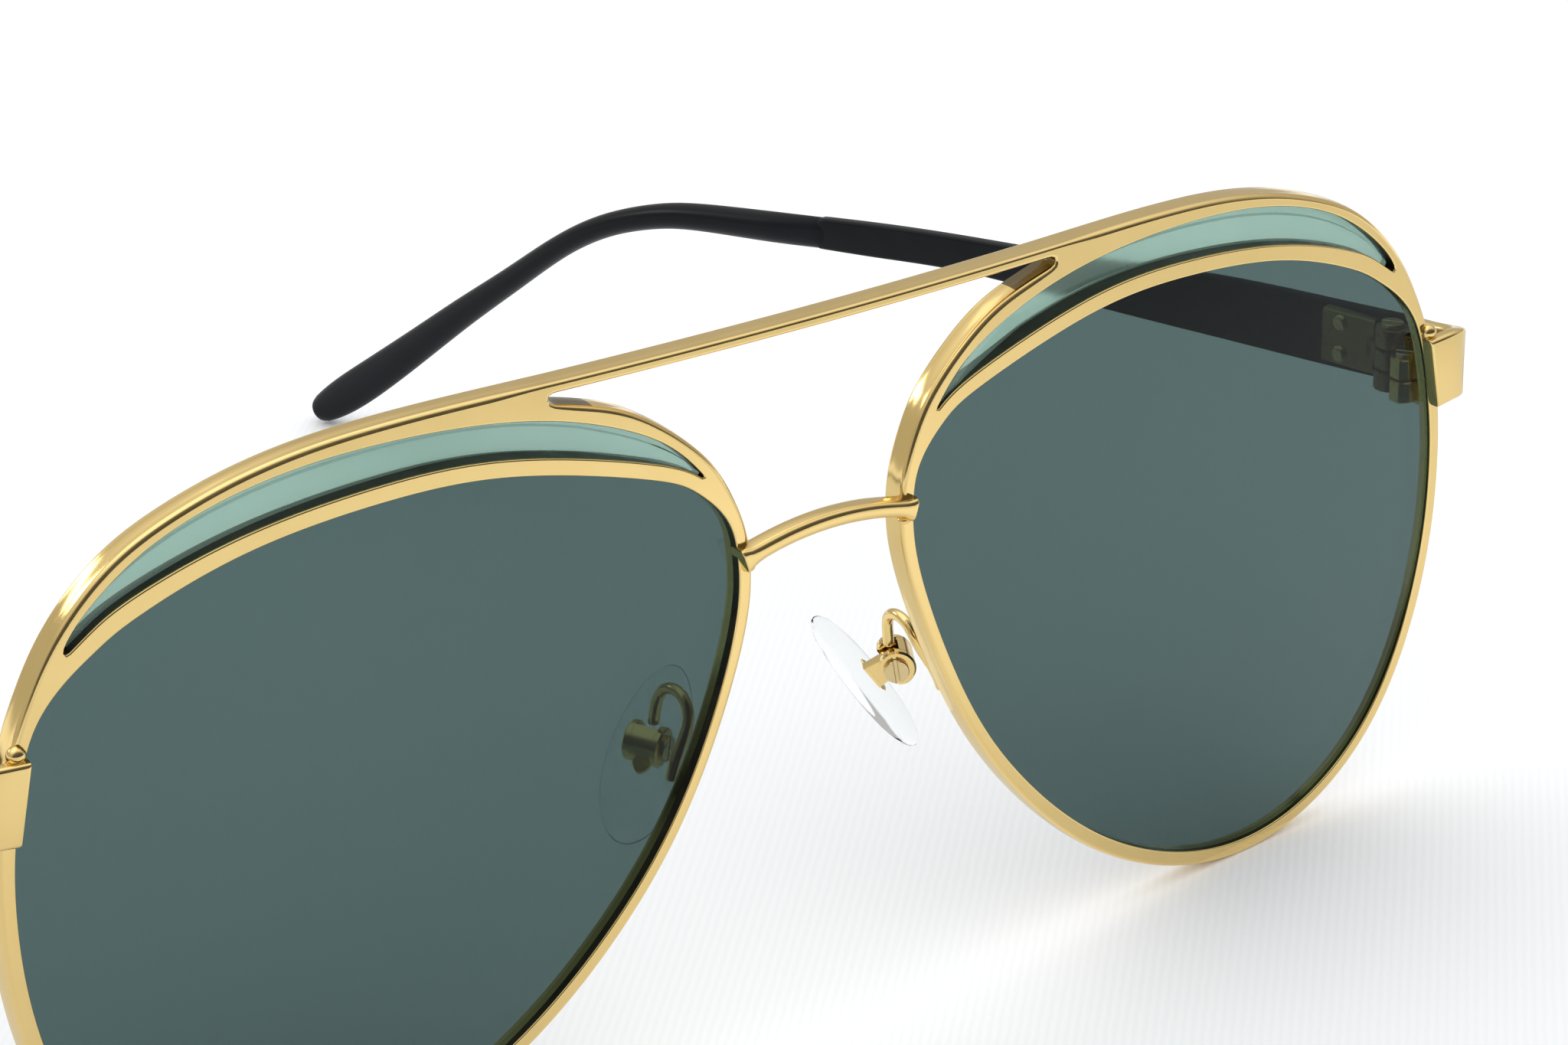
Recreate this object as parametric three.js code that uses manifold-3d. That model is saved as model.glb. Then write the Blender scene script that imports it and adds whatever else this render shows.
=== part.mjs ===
// Aviator sunglasses with a crescent brow, in millimetres.
// +X is to the right of someone who looks at the front, +Y runs back along the temples, +Z is up.
// The origin is the centre of the bounding box at its base: rims and temple tips rest on z = 0.
import * as THREE from 'three';
import { mergeVertices } from 'three/addons/utils/BufferGeometryUtils.js';
import Module from 'manifold-3d';

const wasm = await Module();
wasm.setup();

// ---------------------------------------------------------------- driving dimensions
const LEAN = THREE.MathUtils.degToRad(2.13);     // the front leans its top forward
const FRONT_Y = -71.26;                          // front surface at the bridge, in the part's frame
const FRONT_Z = 29.36;                           // height of the lens centre line
const FRONT_RADIUS_X = 390;                      // wrap of the front, seen from above
const FRONT_RADIUS_Z = 275;                      // curve of the front, seen from the side
const GAP = 0.3;                                 // clearance between pieces that touch

// Edge of the right lens opening, x and z from the lens centre line, starting at the rim split.
const LENS_OPENING = [
  [64.85, 6.5], [62.9, 13.6], [58.5, 18.1], [46.7, 22.9], [36.0, 24.3], [25.7, 23.8], [15.3, 21.1],
  [8.8, 16.5], [8.0, 12.6], [8.9, 6.4], [13.3, -4.6], [19.6, -13.8], [28.0, -21.6], [38.5, -27.0],
  [49.5, -27.8], [59.3, -21.8], [64.4, -10.0], [65.4, 0.2],
];
const RIM_WIDTH = 1.4;
const RIM_DEPTH = 2.4;
const RIM_CHAMFER = 0.35;
const RIM_STATIONS = 64;
const RIM_SPLIT = 0.5;                           // saw cut in the rim, behind the end piece
const GROOVE_DEPTH = 0.9;

const LENS_FRONT = 1.3;                          // lens surface behind the rim's front face
const LENS_THICKNESS = 1.8;

const TOP_BAR_TOP = 30.1;
const TOP_BAR_BOTTOM = 29.3;
const BROW_DEPTH = 1.9;
const BROW_TOP_EDGE = [
  [22.0, 30.1], [30.0, 30.1], [36.0, 29.95], [41.0, 29.6], [46.0, 28.8],
  [51.2, 27.3], [56.6, 24.7], [61.0, 20.6], [63.5, 16.4],
];
const BROW_INNER_EDGE = [[22.3, 29.0], [17.9, 27.3], [14.1, 25.2], [10.5, 22.0], [8.6, 18.8], [7.3, 15.4]];
const CRESCENT_TOP_EDGE = [
  [60.9, 18.5], [59.2, 21.2], [53.8, 25.2], [45.8, 27.9], [37.6, 28.8],
  [29.4, 28.6], [21.4, 27.2], [14.2, 23.9], [10.6, 20.2],
];
const CRESCENT_RECESS = 1.9;
const CRESCENT_THICKNESS = 1.4;

const BRIDGE_TOP = 14.45;                        // centre of the bar at its middle
const BRIDGE_RISE = 1.4;
const BRIDGE_REACH = 8.3;
const BRIDGE_HEIGHT = 1.3;
const BRIDGE_DEPTH = 2.0;
const BRIDGE_PROUD = 1.0;

const END_PIECE_PATH = [                         // seen from above, with the height of its middle
  [62.4, 4.7, 8.65], [64.6, 4.95, 8.65], [66.9, 5.25, 8.3], [68.35, 5.95, 7.95],
  [68.95, 7.3, 7.7], [69.0, 9.4, 7.5], [69.0, 11.3, 7.4],
];
const END_PIECE_HEIGHT = 5.8;
const END_PIECE_THICKNESS = 1.2;

const SOLDER_BEAD = [65.2, 12.35];               // blob above the end piece
const SOLDER_RADIUS = 0.5;

const LOCK_CENTRE = [65.35, 9.8];                // screwed blocks that close the rim
const LOCK_SIZE = [2.3, 1.8];
const LOCK_HEIGHT = 1.8;
const LOCK_MIDDLE = 6.6;

const HINGE_X = 66.2;
const HINGE_Y = 12.4;
const HINGE_Z = 7.4;
const KNUCKLE_RADIUS = 1.4;
const KNUCKLE_HOLE = 0.8;
const KNUCKLE_HEIGHT = 1.6;
const SCREW_RADIUS = 0.48;

const TEMPLE_TOE_IN = THREE.MathUtils.degToRad(14);
const TEMPLE_PLANE = 2.35;                       // middle of the temple, out from the hinge axis
const ARM_THICKNESS = 1.3;
const ARM_EDGES = [                              // distance from the hinge, upper edge, lower edge
  [-1.2, 10.4, 4.4], [8.0, 9.9, 4.0], [20.0, 9.1, 3.6], [33.0, 7.5, 3.2],
  [46.0, 6.2, 2.9], [56.0, 5.1, 1.9], [63.7, 4.0, 1.0],
];
const TIP_PATH = [                               // distance from the hinge, height
  [64.5, 2.4], [70.8, 1.55], [79.4, 0.4], [85.3, -0.95], [91.4, -3.3], [97.6, -6.95],
  [104.0, -11.75], [110.7, -16.8], [117.4, -22.05], [124.3, -27.55], [129.5, -31.6], [133.0, -34.1],
];
const TIP_HALF_HEIGHTS = [1.6, 1.45, 1.3, 1.2, 1.15, 1.15, 1.25, 1.45, 1.7, 2.0, 2.0, 1.5];
const TIP_HALF_THICKNESS = 1.35;
const CORE_HALF = [0.55, 0.4];
const BORE_CLEARANCE = 0.35;
const CORE_LAST = 9;                             // the core ends at this point of the tip's path

const PAD_ANCHOR = [11.75, 8.05, -3.7];           // centre of the right pad box
const PAD_LONG_AXIS = new THREE.Vector3(0.53, -0.23, -0.815).normalize();
const PAD_ACROSS = new THREE.Vector3(0.545, 0.839, 0);
const PAD_CENTRE = [-0.9, -0.55, 3.15];            // middle of the pad, from the pad box in the pad's own axes
const PAD_HALF = [7.4, 3.4];
const PAD_THICKNESS = 2.2;
const PAD_ARM_PATH = [
  [12.9, 3.45, -4.4], [12.2, 3.5, -2.8], [11.0, 3.7, -0.6], [10.6, 4.6, 0.9],
  [10.6, 6.1, 1.3], [10.8, 7.5, 0.5], [11.1, 7.95, -1.2],
];
const WIRE_RADIUS = 0.42;

// ---------------------------------------------------------------- materials
const gold = new THREE.MeshStandardMaterial({ color: 0xe3c078, metalness: 1, roughness: 0.22 });
const lensGlass = new THREE.MeshStandardMaterial({ color: 0x3f5450, metalness: 0, roughness: 0.05 });
const mintGlass = new THREE.MeshStandardMaterial({ color: 0x8fb5a6, metalness: 0, roughness: 0.15 });
const enamel = new THREE.MeshStandardMaterial({ color: 0x141a20, metalness: 0.1, roughness: 0.3 });
const acetate = new THREE.MeshStandardMaterial({ color: 0x10161b, metalness: 0, roughness: 0.25 });
const silicone = new THREE.MeshStandardMaterial({ color: 0xe8eeee, metalness: 0, roughness: 0.2 });
const steel = new THREE.MeshStandardMaterial({ color: 0xd8c08c, metalness: 1, roughness: 0.3 });

// ---------------------------------------------------------------- curves
// Slopes that make the curve through the points smooth, found by relaxation.
function splineSlopes(points, closed) {
  const last = points.length - 1;
  const at = (i) => points[(i + points.length) % points.length];
  const slopes = points.map((point, i) => point.map((value, k) => {
    const before = closed || i > 0 ? at(i - 1)[k] : value;
    const after = closed || i < last ? at(i + 1)[k] : value;
    return (after - before) / 2;
  }));
  for (let pass = 0; pass < 60; pass += 1) {
    for (let i = 0; i <= last; i += 1) {
      for (let k = 0; k < points[0].length; k += 1) {
        const slope = (j) => slopes[(j + points.length) % points.length][k];
        if (closed || (i > 0 && i < last)) {
          slopes[i][k] = (3 * (at(i + 1)[k] - at(i - 1)[k]) - slope(i - 1) - slope(i + 1)) / 4;
        } else if (i === 0) {
          slopes[i][k] = (3 * (at(1)[k] - at(0)[k]) - slope(1)) / 2;
        } else {
          slopes[i][k] = (3 * (at(i)[k] - at(i - 1)[k]) - slope(i - 1)) / 2;
        }
      }
    }
  }
  return slopes;
}

// Evenly spread samples of the smooth curve through the points.
function smoothPath(points, count, closed = false) {
  const slopes = splineSlopes(points, closed);
  const pieces = closed ? points.length : points.length - 1;
  const dense = [];
  const perPiece = 24;
  for (let step = 0; step <= pieces * perPiece; step += 1) {
    const i = Math.min(Math.floor(step / perPiece), pieces - 1);
    const j = (i + 1) % points.length;
    const t = step / perPiece - i;
    const h = [2 * t ** 3 - 3 * t ** 2 + 1, t ** 3 - 2 * t ** 2 + t, 3 * t ** 2 - 2 * t ** 3, t ** 3 - t ** 2];
    dense.push(points[i].map((value, k) => (
      h[0] * value + h[1] * slopes[i][k] + h[2] * points[j][k] + h[3] * slopes[j][k]
    )));
  }
  const lengths = [0];
  for (let i = 1; i < dense.length; i += 1) {
    lengths.push(lengths[i - 1] + Math.hypot(...dense[i].map((value, k) => value - dense[i - 1][k])));
  }
  const total = lengths[lengths.length - 1];
  const samples = [];
  const steps = closed ? count : count - 1;
  for (let n = 0, i = 1; n < count; n += 1) {
    const target = total * n / steps;
    while (i < lengths.length - 1 && lengths[i] < target) i += 1;
    const t = (target - lengths[i - 1]) / (lengths[i] - lengths[i - 1]);
    samples.push(dense[i].map((value, k) => dense[i - 1][k] + t * (value - dense[i - 1][k])));
  }
  return samples;
}

// The closed outline moved outward by a distance; outlines run anticlockwise seen from the front.
function offsetOutline(outline, distance) {
  return outline.map((point, i) => {
    const before = outline[(i + outline.length - 1) % outline.length];
    const after = outline[(i + 1) % outline.length];
    const along = [after[0] - before[0], after[1] - before[1]];
    const length = Math.hypot(...along);
    return [point[0] + distance * along[1] / length, point[1] - distance * along[0] / length];
  });
}

const frontDepth = (x, z) => x * x / (2 * FRONT_RADIUS_X) + z * z / (2 * FRONT_RADIUS_Z);
const onFront = ([x, z], depth) => [x, frontDepth(x, z) + depth, z];
const openingOutline = smoothPath(LENS_OPENING, RIM_STATIONS, true);

// ---------------------------------------------------------------- solids
// A closed body from points and triangles, turned right side out.
function body(points, triangles) {
  let volume = 0;
  for (const [a, b, c] of triangles) {
    const [p, q, r] = [points[a], points[b], points[c]];
    volume += p[0] * (q[1] * r[2] - q[2] * r[1]) - p[1] * (q[0] * r[2] - q[2] * r[0])
      + p[2] * (q[0] * r[1] - q[1] * r[0]);
  }
  const faces = volume < 0 ? triangles.map(([a, b, c]) => [a, c, b]) : triangles;
  const geometry = new THREE.BufferGeometry();
  geometry.setAttribute('position', new THREE.Float32BufferAttribute(points.flat(), 3));
  geometry.setIndex(faces.flat());
  return geometry;
}

// Skin through rings of equal size, with a flat cap on each end ring.
function loft(rings) {
  const size = rings[0].length;
  const points = rings.flat();
  const triangles = [];
  for (let ring = 0; ring < rings.length - 1; ring += 1) {
    for (let i = 0; i < size; i += 1) {
      const a = ring * size + i;
      const b = ring * size + (i + 1) % size;
      triangles.push([a, b, b + size], [a, b + size, a + size]);
    }
  }
  const flat = capPlane(rings[0]);
  const lastStart = (rings.length - 1) * size;
  for (const [a, b, c] of THREE.ShapeUtils.triangulateShape(flat, [])) {
    triangles.push([a, c, b]);
  }
  for (const [a, b, c] of THREE.ShapeUtils.triangulateShape(capPlane(rings[rings.length - 1]), [])) {
    triangles.push([lastStart + a, lastStart + b, lastStart + c]);
  }
  return body(points, orientCaps(points, triangles));
}

// A ring's points in its own plane.
function capPlane(ring) {
  const corners = ring.map((point) => new THREE.Vector3(...point));
  const normal = new THREE.Vector3();
  corners.forEach((corner, i) => normal.add(corner.clone().cross(corners[(i + 1) % corners.length])));
  normal.normalize();
  const across = corners[1].clone().sub(corners[0]).normalize();
  const up = normal.clone().cross(across);
  return corners.map((corner) => new THREE.Vector2(corner.dot(across), corner.dot(up)));
}

// Makes every triangle agree with its neighbours, starting from the first.
function orientCaps(points, triangles) {
  const edges = new Map();
  triangles.forEach((triangle, index) => {
    triangle.forEach((a, i) => {
      const b = triangle[(i + 1) % 3];
      const key = a < b ? `${a}_${b}` : `${b}_${a}`;
      if (!edges.has(key)) edges.set(key, []);
      edges.get(key).push({ index, forward: a < b });
    });
  });
  const flipped = new Array(triangles.length).fill(null);
  flipped[0] = false;
  const queue = [0];
  while (queue.length > 0) {
    const current = queue.pop();
    const triangle = triangles[current];
    triangle.forEach((a, i) => {
      const b = triangle[(i + 1) % 3];
      const key = a < b ? `${a}_${b}` : `${b}_${a}`;
      const pair = edges.get(key);
      const self = pair.find((entry) => entry.index === current);
      const other = pair.find((entry) => entry.index !== current);
      if (flipped[other.index] === null) {
        flipped[other.index] = self.forward === other.forward ? !flipped[current] : flipped[current];
        queue.push(other.index);
      }
    });
  }
  return triangles.map((triangle, i) => (flipped[i] ? [triangle[0], triangle[2], triangle[1]] : triangle));
}

// A prism on an outline in x and z, from one depth to another.
function prism(outline, from, to) {
  const near = outline.map(([x, z]) => [x, from, z]);
  const far = outline.map(([x, z]) => [x, to, z]);
  return loft([near, far]);
}

// A prism on an outline in x and y, from one height to another, with round holes.
function plate(outline, bottom, top, holes = []) {
  const shape = new THREE.Shape(outline.map(([x, y]) => new THREE.Vector2(x, y)));
  for (const [x, y, radius] of holes) {
    const hole = new THREE.Path();
    hole.absarc(x, y, radius, 0, Math.PI * 2, true);
    shape.holes.push(hole);
  }
  const geometry = new THREE.ExtrudeGeometry(shape, { depth: top - bottom, bevelEnabled: false, curveSegments: 6 });
  geometry.translate(0, 0, bottom);
  return geometry;
}

function welded(geometry) {
  const plain = geometry.clone();
  plain.deleteAttribute('normal');
  plain.deleteAttribute('uv');
  return mergeVertices(plain, 1e-4);
}

function toManifold(geometry) {
  const merged = welded(geometry);
  return new wasm.Manifold(new wasm.Mesh({
    numProp: 3,
    vertProperties: new Float32Array(merged.attributes.position.array),
    triVerts: new Uint32Array(merged.index.array),
  }));
}

function fromManifold(manifold) {
  const mesh = manifold.getMesh();
  const geometry = new THREE.BufferGeometry();
  geometry.setAttribute('position', new THREE.Float32BufferAttribute(Array.from(mesh.vertProperties), 3));
  geometry.setIndex(Array.from(mesh.triVerts));
  return geometry;
}

// Lays a flat piece on the curved front: depth 0 becomes the front surface.
function bendOntoFront(geometry) {
  const position = geometry.attributes.position;
  for (let i = 0; i < position.count; i += 1) {
    const depth = frontDepth(position.getX(i), position.getZ(i));
    position.setY(i, position.getY(i) + depth);
  }
  return geometry;
}

function mirrored(geometry) {
  const copy = welded(geometry);
  const position = copy.attributes.position;
  for (let i = 0; i < position.count; i += 1) position.setX(i, -position.getX(i));
  const index = copy.index.array;
  for (let i = 0; i < index.length; i += 3) {
    const swap = index[i + 1];
    index[i + 1] = index[i + 2];
    index[i + 2] = swap;
  }
  return copy;
}

const ellipse = (halfAcross, halfUp, count) => Array.from({ length: count }, (_, i) => {
  const angle = 2 * Math.PI * i / count;
  return [halfAcross * Math.cos(angle), halfUp * Math.sin(angle)];
});

// Corner-cut rectangle, as across and up offsets.
function cutRectangle(halfAcross, halfUp, cut) {
  return [
    [halfAcross, -halfUp + cut], [halfAcross, halfUp - cut], [halfAcross - cut, halfUp], [cut - halfAcross, halfUp],
    [-halfAcross, halfUp - cut], [-halfAcross, cut - halfUp], [cut - halfAcross, -halfUp], [halfAcross - cut, -halfUp],
  ];
}

// ---------------------------------------------------------------- front pieces
function rim() {
  const section = [
    [0, 0], [RIM_WIDTH - RIM_CHAMFER, 0], [RIM_WIDTH, RIM_CHAMFER], [RIM_WIDTH, RIM_DEPTH - GAP],
    [RIM_WIDTH - GAP, RIM_DEPTH], [0, RIM_DEPTH], [GROOVE_DEPTH, 1.8], [GROOVE_DEPTH, 1.4], [0, 0.9],
  ];
  const stations = smoothPath(LENS_OPENING, RIM_STATIONS * 4, true);
  const offsets = section.map(([out]) => offsetOutline(stations, out));
  const rings = [];
  for (let i = 0; i < stations.length; i += 4) {
    const station = i === 0 ? 1 : i;
    rings.push(section.map(([, depth], k) => onFront(offsets[k][station], depth)));
  }
  rings.push(section.map(([, depth], k) => onFront(offsets[k][stations.length - 1], depth)));
  return loft(rings);
}

function mainLens() {
  const centre = [36, -2];
  const edge = [[-0.4, 0], [0.4, 0.35], [-0.4, 0.75], [-0.4, LENS_THICKNESS]];
  const outlines = edge.map(([out]) => offsetOutline(openingOutline, out));
  const inward = (outline, share) => outline.map(([x, z]) => (
    [centre[0] + (x - centre[0]) * share, centre[1] + (z - centre[1]) * share]
  ));
  const depths = edge.map(([, depth]) => LENS_FRONT + depth);
  const rings = [
    inward(outlines[0], 0.08).map((p) => onFront(p, depths[0])),
    inward(outlines[0], 0.55).map((p) => onFront(p, depths[0])),
    ...outlines.map((outline, k) => outline.map((p) => onFront(p, depths[k]))),
    inward(outlines[3], 0.55).map((p) => onFront(p, depths[3])),
    inward(outlines[3], 0.08).map((p) => onFront(p, depths[3])),
  ];
  return loft(rings);
}

// The narrow lens between the rim and the crescent's top edge.
function crescentLens() {
  const top = smoothPath(CRESCENT_TOP_EDGE, 26).slice(2, -2);
  const rimOutside = offsetOutline(smoothPath(LENS_OPENING, 240, true), RIM_WIDTH + GAP);
  const rings = top.map(([x, z]) => {
    const below = rimOutside.reduce((best, point) => (
      Math.hypot(point[0] - x, point[1] - z) < Math.hypot(best[0] - x, best[1] - z) ? point : best
    ));
    const width = Math.hypot(below[0] - x, below[1] - z);
    const share = Math.min(GAP / width, 0.4);
    const upper = [x + (below[0] - x) * share, z + (below[1] - z) * share];
    return [
      onFront(upper, CRESCENT_RECESS - 1.0), onFront(below, CRESCENT_RECESS - 1.0),
      onFront(below, CRESCENT_RECESS - 1.0 + CRESCENT_THICKNESS),
      onFront(upper, CRESCENT_RECESS - 1.0 + CRESCENT_THICKNESS),
    ];
  });
  return loft(rings);
}

function eyePrism(offset, from, to) {
  return prism(offsetOutline(openingOutline, offset), from, to);
}

// Straight top bar and both crescent bands, cut from one sheet.
function browFrame() {
  const topEdge = smoothPath(BROW_TOP_EDGE, 34);
  const innerEdge = smoothPath(BROW_INNER_EDGE, 14).reverse();
  const half = [...topEdge, [60.2, 15.4], [12.0, 14.6], ...innerEdge, [21.4, TOP_BAR_BOTTOM]];
  const other = half.map(([x, z]) => [-x, z]).reverse();
  let brow = toManifold(prism([...half, ...other].reverse(), 0, BROW_DEPTH));
  const crescent = prism(smoothPath(CRESCENT_TOP_EDGE, 30), -1, BROW_DEPTH + 1);
  const eye = eyePrism(RIM_WIDTH + GAP, -1, BROW_DEPTH + 1);
  for (const cutter of [crescent, eye]) {
    brow = brow.subtract(toManifold(cutter)).subtract(toManifold(mirrored(cutter)));
  }
  return bendOntoFront(fromManifold(brow));
}

// Arched bar soldered across the faces of both rims, its ends cut flush with the lens openings.
function bridge() {
  const reach = BRIDGE_REACH + 2;
  const rings = [];
  for (let i = 0; i <= 16; i += 1) {
    const x = -reach + 2 * reach * i / 16;
    const z = BRIDGE_TOP - BRIDGE_RISE * (x / BRIDGE_REACH) ** 2;
    rings.push(cutRectangle(BRIDGE_DEPTH / 2, BRIDGE_HEIGHT / 2, 0.3).map(([depth, up]) => (
      [x, depth + BRIDGE_DEPTH / 2 - BRIDGE_PROUD, z + up]
    )));
  }
  let bar = toManifold(loft(rings));
  for (const cutter of [eyePrism(RIM_WIDTH + GAP, -GAP, 5), eyePrism(0, -5, 5)]) {
    bar = bar.subtract(toManifold(cutter)).subtract(toManifold(mirrored(cutter)));
  }
  return bendOntoFront(fromManifold(bar));
}

// Strip that covers the rim's split, then turns back along the head to carry the hinge.
function endPiece() {
  const path = smoothPath(END_PIECE_PATH, 16);
  const section = cutRectangle(END_PIECE_THICKNESS / 2, END_PIECE_HEIGHT / 2, 0.25);
  const rings = path.map(([x, y, z], i) => {
    const before = path[Math.max(i - 1, 0)];
    const after = path[Math.min(i + 1, path.length - 1)];
    const length = Math.hypot(after[0] - before[0], after[1] - before[1]);
    const out = [(after[1] - before[1]) / length, -(after[0] - before[0]) / length];
    return section.map(([across, up]) => [x + across * out[0], y + across * out[1], z + up]);
  });
  const frontAtSplit = frontDepth(64.8, 4);
  const rimSpace = eyePrism(RIM_WIDTH + GAP, frontAtSplit - GAP, frontAtSplit + 6);
  const opening = eyePrism(0, -5, frontAtSplit + 6);
  return fromManifold(toManifold(loft(rings)).subtract(toManifold(rimSpace)).subtract(toManifold(opening)));
}

function rimLock(bottom) {
  const [x, y] = LOCK_CENTRE;
  const outline = cutRectangle(LOCK_SIZE[0] / 2, LOCK_SIZE[1] / 2, 0.35).map(([a, b]) => [x + a, y + b]);
  return plate(outline, bottom, bottom + LOCK_HEIGHT, [[x, y, SCREW_RADIUS + 0.22]]);
}

// Countersunk screw: shank down from its head, standing on its own axis.
function screw(shankLength, headRadius, headHeight, shankRadius) {
  const profile = [
    [0, 0], [shankRadius, 0], [shankRadius, shankLength], [headRadius, shankLength],
    [headRadius, shankLength + headHeight * 0.6], [headRadius * 0.7, shankLength + headHeight],
    [0, shankLength + headHeight],
  ];
  const geometry = new THREE.LatheGeometry(profile.map(([r, h]) => new THREE.Vector2(r, h)), 12);
  geometry.rotateX(Math.PI / 2);
  return geometry;
}

// One hinge knuckle about the local axis, with a lug out to its leaf.
function knuckle(lug, bottom) {
  const ring = new THREE.Shape();
  ring.absarc(0, 0, KNUCKLE_RADIUS, 0, Math.PI * 2, false);
  const geometry = new THREE.ExtrudeGeometry(ring, { depth: KNUCKLE_HEIGHT, bevelEnabled: false, curveSegments: 8 });
  geometry.translate(0, 0, bottom);
  const hole = new THREE.CylinderGeometry(KNUCKLE_HOLE, KNUCKLE_HOLE, KNUCKLE_HEIGHT + 2, 12);
  hole.rotateX(Math.PI / 2);
  hole.translate(0, 0, bottom + KNUCKLE_HEIGHT / 2);
  const arm = plate(lug, bottom, bottom + KNUCKLE_HEIGHT);
  return toManifold(geometry).add(toManifold(arm)).subtract(toManifold(hole));
}

const KNUCKLE_STEP = KNUCKLE_HEIGHT + GAP;

function frontHinge() {
  const leaf = toManifold(plate([[1.2, -4.2], [1.9, -4.2], [1.9, -1.8], [1.2, -1.8]], -2.7, 2.7));
  const lug = [[1.3, -3.0], [1.8, -3.0], [1.8, -1.9], [1.3, -0.5], [0, 0.9], [0, -0.9]];
  const lower = knuckle(lug, -KNUCKLE_STEP - KNUCKLE_HEIGHT / 2);
  const upper = knuckle(lug, KNUCKLE_STEP - KNUCKLE_HEIGHT / 2);
  return fromManifold(leaf.add(lower).add(upper));
}

function templeHinge() {
  const inner = TEMPLE_PLANE - ARM_THICKNESS / 2 - GAP;
  const leaf = toManifold(plate([[inner - 0.8, 2.2], [inner, 2.2], [inner, 7.4], [inner - 0.8, 7.4]], -2.4, 2.4));
  const lug = [[-0.9, 0], [0.9, 0], [1.2, 2.6], [0.7, 3.0], [-0.2, 1.6]];
  return fromManifold(leaf.add(knuckle(lug, -KNUCKLE_HEIGHT / 2)));
}

// ---------------------------------------------------------------- temple pieces, from the hinge axis
function sectionAt(path, i, across, up) {
  const before = path[Math.max(i - 1, 0)];
  const after = path[Math.min(i + 1, path.length - 1)];
  const length = Math.hypot(after[0] - before[0], after[1] - before[1]);
  const rise = [-(after[1] - before[1]) / length, (after[0] - before[0]) / length];
  return [TEMPLE_PLANE + across, path[i][0] + up * rise[0], path[i][1] + up * rise[1]];
}

const tipStations = smoothPath(TIP_PATH.map((point, i) => [...point, TIP_HALF_HEIGHTS[i]]), 24);

function coreRing(i, grow) {
  return cutRectangle(CORE_HALF[1] + grow, CORE_HALF[0] + grow, 0.2)
    .map(([across, up]) => sectionAt(tipStations, i, across, up));
}

// Flat enamelled arm that narrows into the wire core of the tip.
function templeArm() {
  const rings = smoothPath(ARM_EDGES, 9).map(([along, top, bottom]) => {
    const middle = (top + bottom) / 2;
    return cutRectangle(ARM_THICKNESS / 2, (top - bottom) / 2, 0.3)
      .map(([across, up]) => [TEMPLE_PLANE + across, along, middle + up]);
  });
  for (let i = 0; i <= CORE_LAST * 2; i += 2) rings.push(coreRing(i, 0));
  return loft(rings);
}

// Acetate sleeve over the core, open at its front end.
function templeTip() {
  const count = 12;
  const bore = [];
  for (let i = CORE_LAST * 2 + 1; i >= 0; i -= 2) {
    bore.push(ellipse(CORE_HALF[1] + BORE_CLEARANCE, CORE_HALF[0] + BORE_CLEARANCE, count)
      .map(([across, up]) => sectionAt(tipStations, Math.max(i, 0), across, up)));
  }
  bore.push(ellipse(CORE_HALF[1] + BORE_CLEARANCE, CORE_HALF[0] + BORE_CLEARANCE, count)
    .map(([across, up]) => sectionAt(tipStations, 0, across, up)));
  const outside = tipStations.map(([, , half], i) => {
    const narrow = i === tipStations.length - 1 ? 0.45 : 1;
    const thick = TIP_HALF_THICKNESS * (i === tipStations.length - 1 ? 0.55 : 1);
    return ellipse(thick, half * narrow, count).map(([across, up]) => sectionAt(tipStations, i, across, up));
  });
  return loft([...bore, ...outside]);
}

function templeRivet() {
  const geometry = screw(0.9, 0.75, 0.35, 0.45);
  geometry.rotateY(-Math.PI / 2);
  return geometry;
}

// ---------------------------------------------------------------- nose pads, from the pad box centre
const padAcross = PAD_ACROSS.clone().addScaledVector(PAD_LONG_AXIS, -PAD_ACROSS.dot(PAD_LONG_AXIS)).normalize();
const padOut = PAD_LONG_AXIS.clone().cross(padAcross).negate();
// Columns: across the pad, along it towards its top, and out to the nose.
const padBasis = new THREE.Matrix4().makeBasis(padAcross.clone().negate(), PAD_LONG_AXIS.clone().negate(), padOut);

function nosePad() {
  const half = PAD_THICKNESS / 2;
  const profile = [[0, -half], [0.8, -half], [0.97, -half * 0.5], [1, 0], [0.9, half * 0.65], [0.6, half], [0, half * 1.15]];
  const geometry = new THREE.LatheGeometry(profile.map(([r, h]) => new THREE.Vector2(r, h)), 22);
  geometry.rotateX(Math.PI / 2);
  geometry.scale(PAD_HALF[1], PAD_HALF[0], 1);
  const [across, along, out] = PAD_CENTRE;
  geometry.translate(across, along, out);
  const pocket = new THREE.BoxGeometry(3.4, 6.4, 1.9);
  pocket.translate(across, along, out - half);
  return fromManifold(toManifold(geometry).subtract(toManifold(pocket)));
}

// Metal plate in the pad's pocket, with the lug that the screw holds.
function padInsert() {
  const [across, along, out] = PAD_CENTRE;
  const base = out - PAD_THICKNESS / 2;
  const leaf = new THREE.BoxGeometry(2.3, 5.6, 0.7);
  leaf.translate(across, along, base + 0.25);
  const lug = new THREE.BoxGeometry(1.0, 1.9, 3.05);
  lug.translate(0, 0, base - 1.425);
  const hole = new THREE.CylinderGeometry(0.72, 0.72, 4, 12);
  hole.rotateZ(Math.PI / 2);
  return fromManifold(toManifold(leaf).add(toManifold(lug)).subtract(toManifold(hole)));
}

// Box around the lug, open towards the pad.
function padBox() {
  const outside = new THREE.BoxGeometry(3.0, 3.2, 2.4);
  outside.translate(0, 0, -0.4);
  const inside = new THREE.BoxGeometry(1.7, 2.6, 3.0);
  inside.translate(0, 0, 0.3);
  const hole = new THREE.CylinderGeometry(0.72, 0.72, 6, 12);
  hole.rotateZ(Math.PI / 2);
  return fromManifold(toManifold(outside).subtract(toManifold(inside)).subtract(toManifold(hole)));
}

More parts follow.
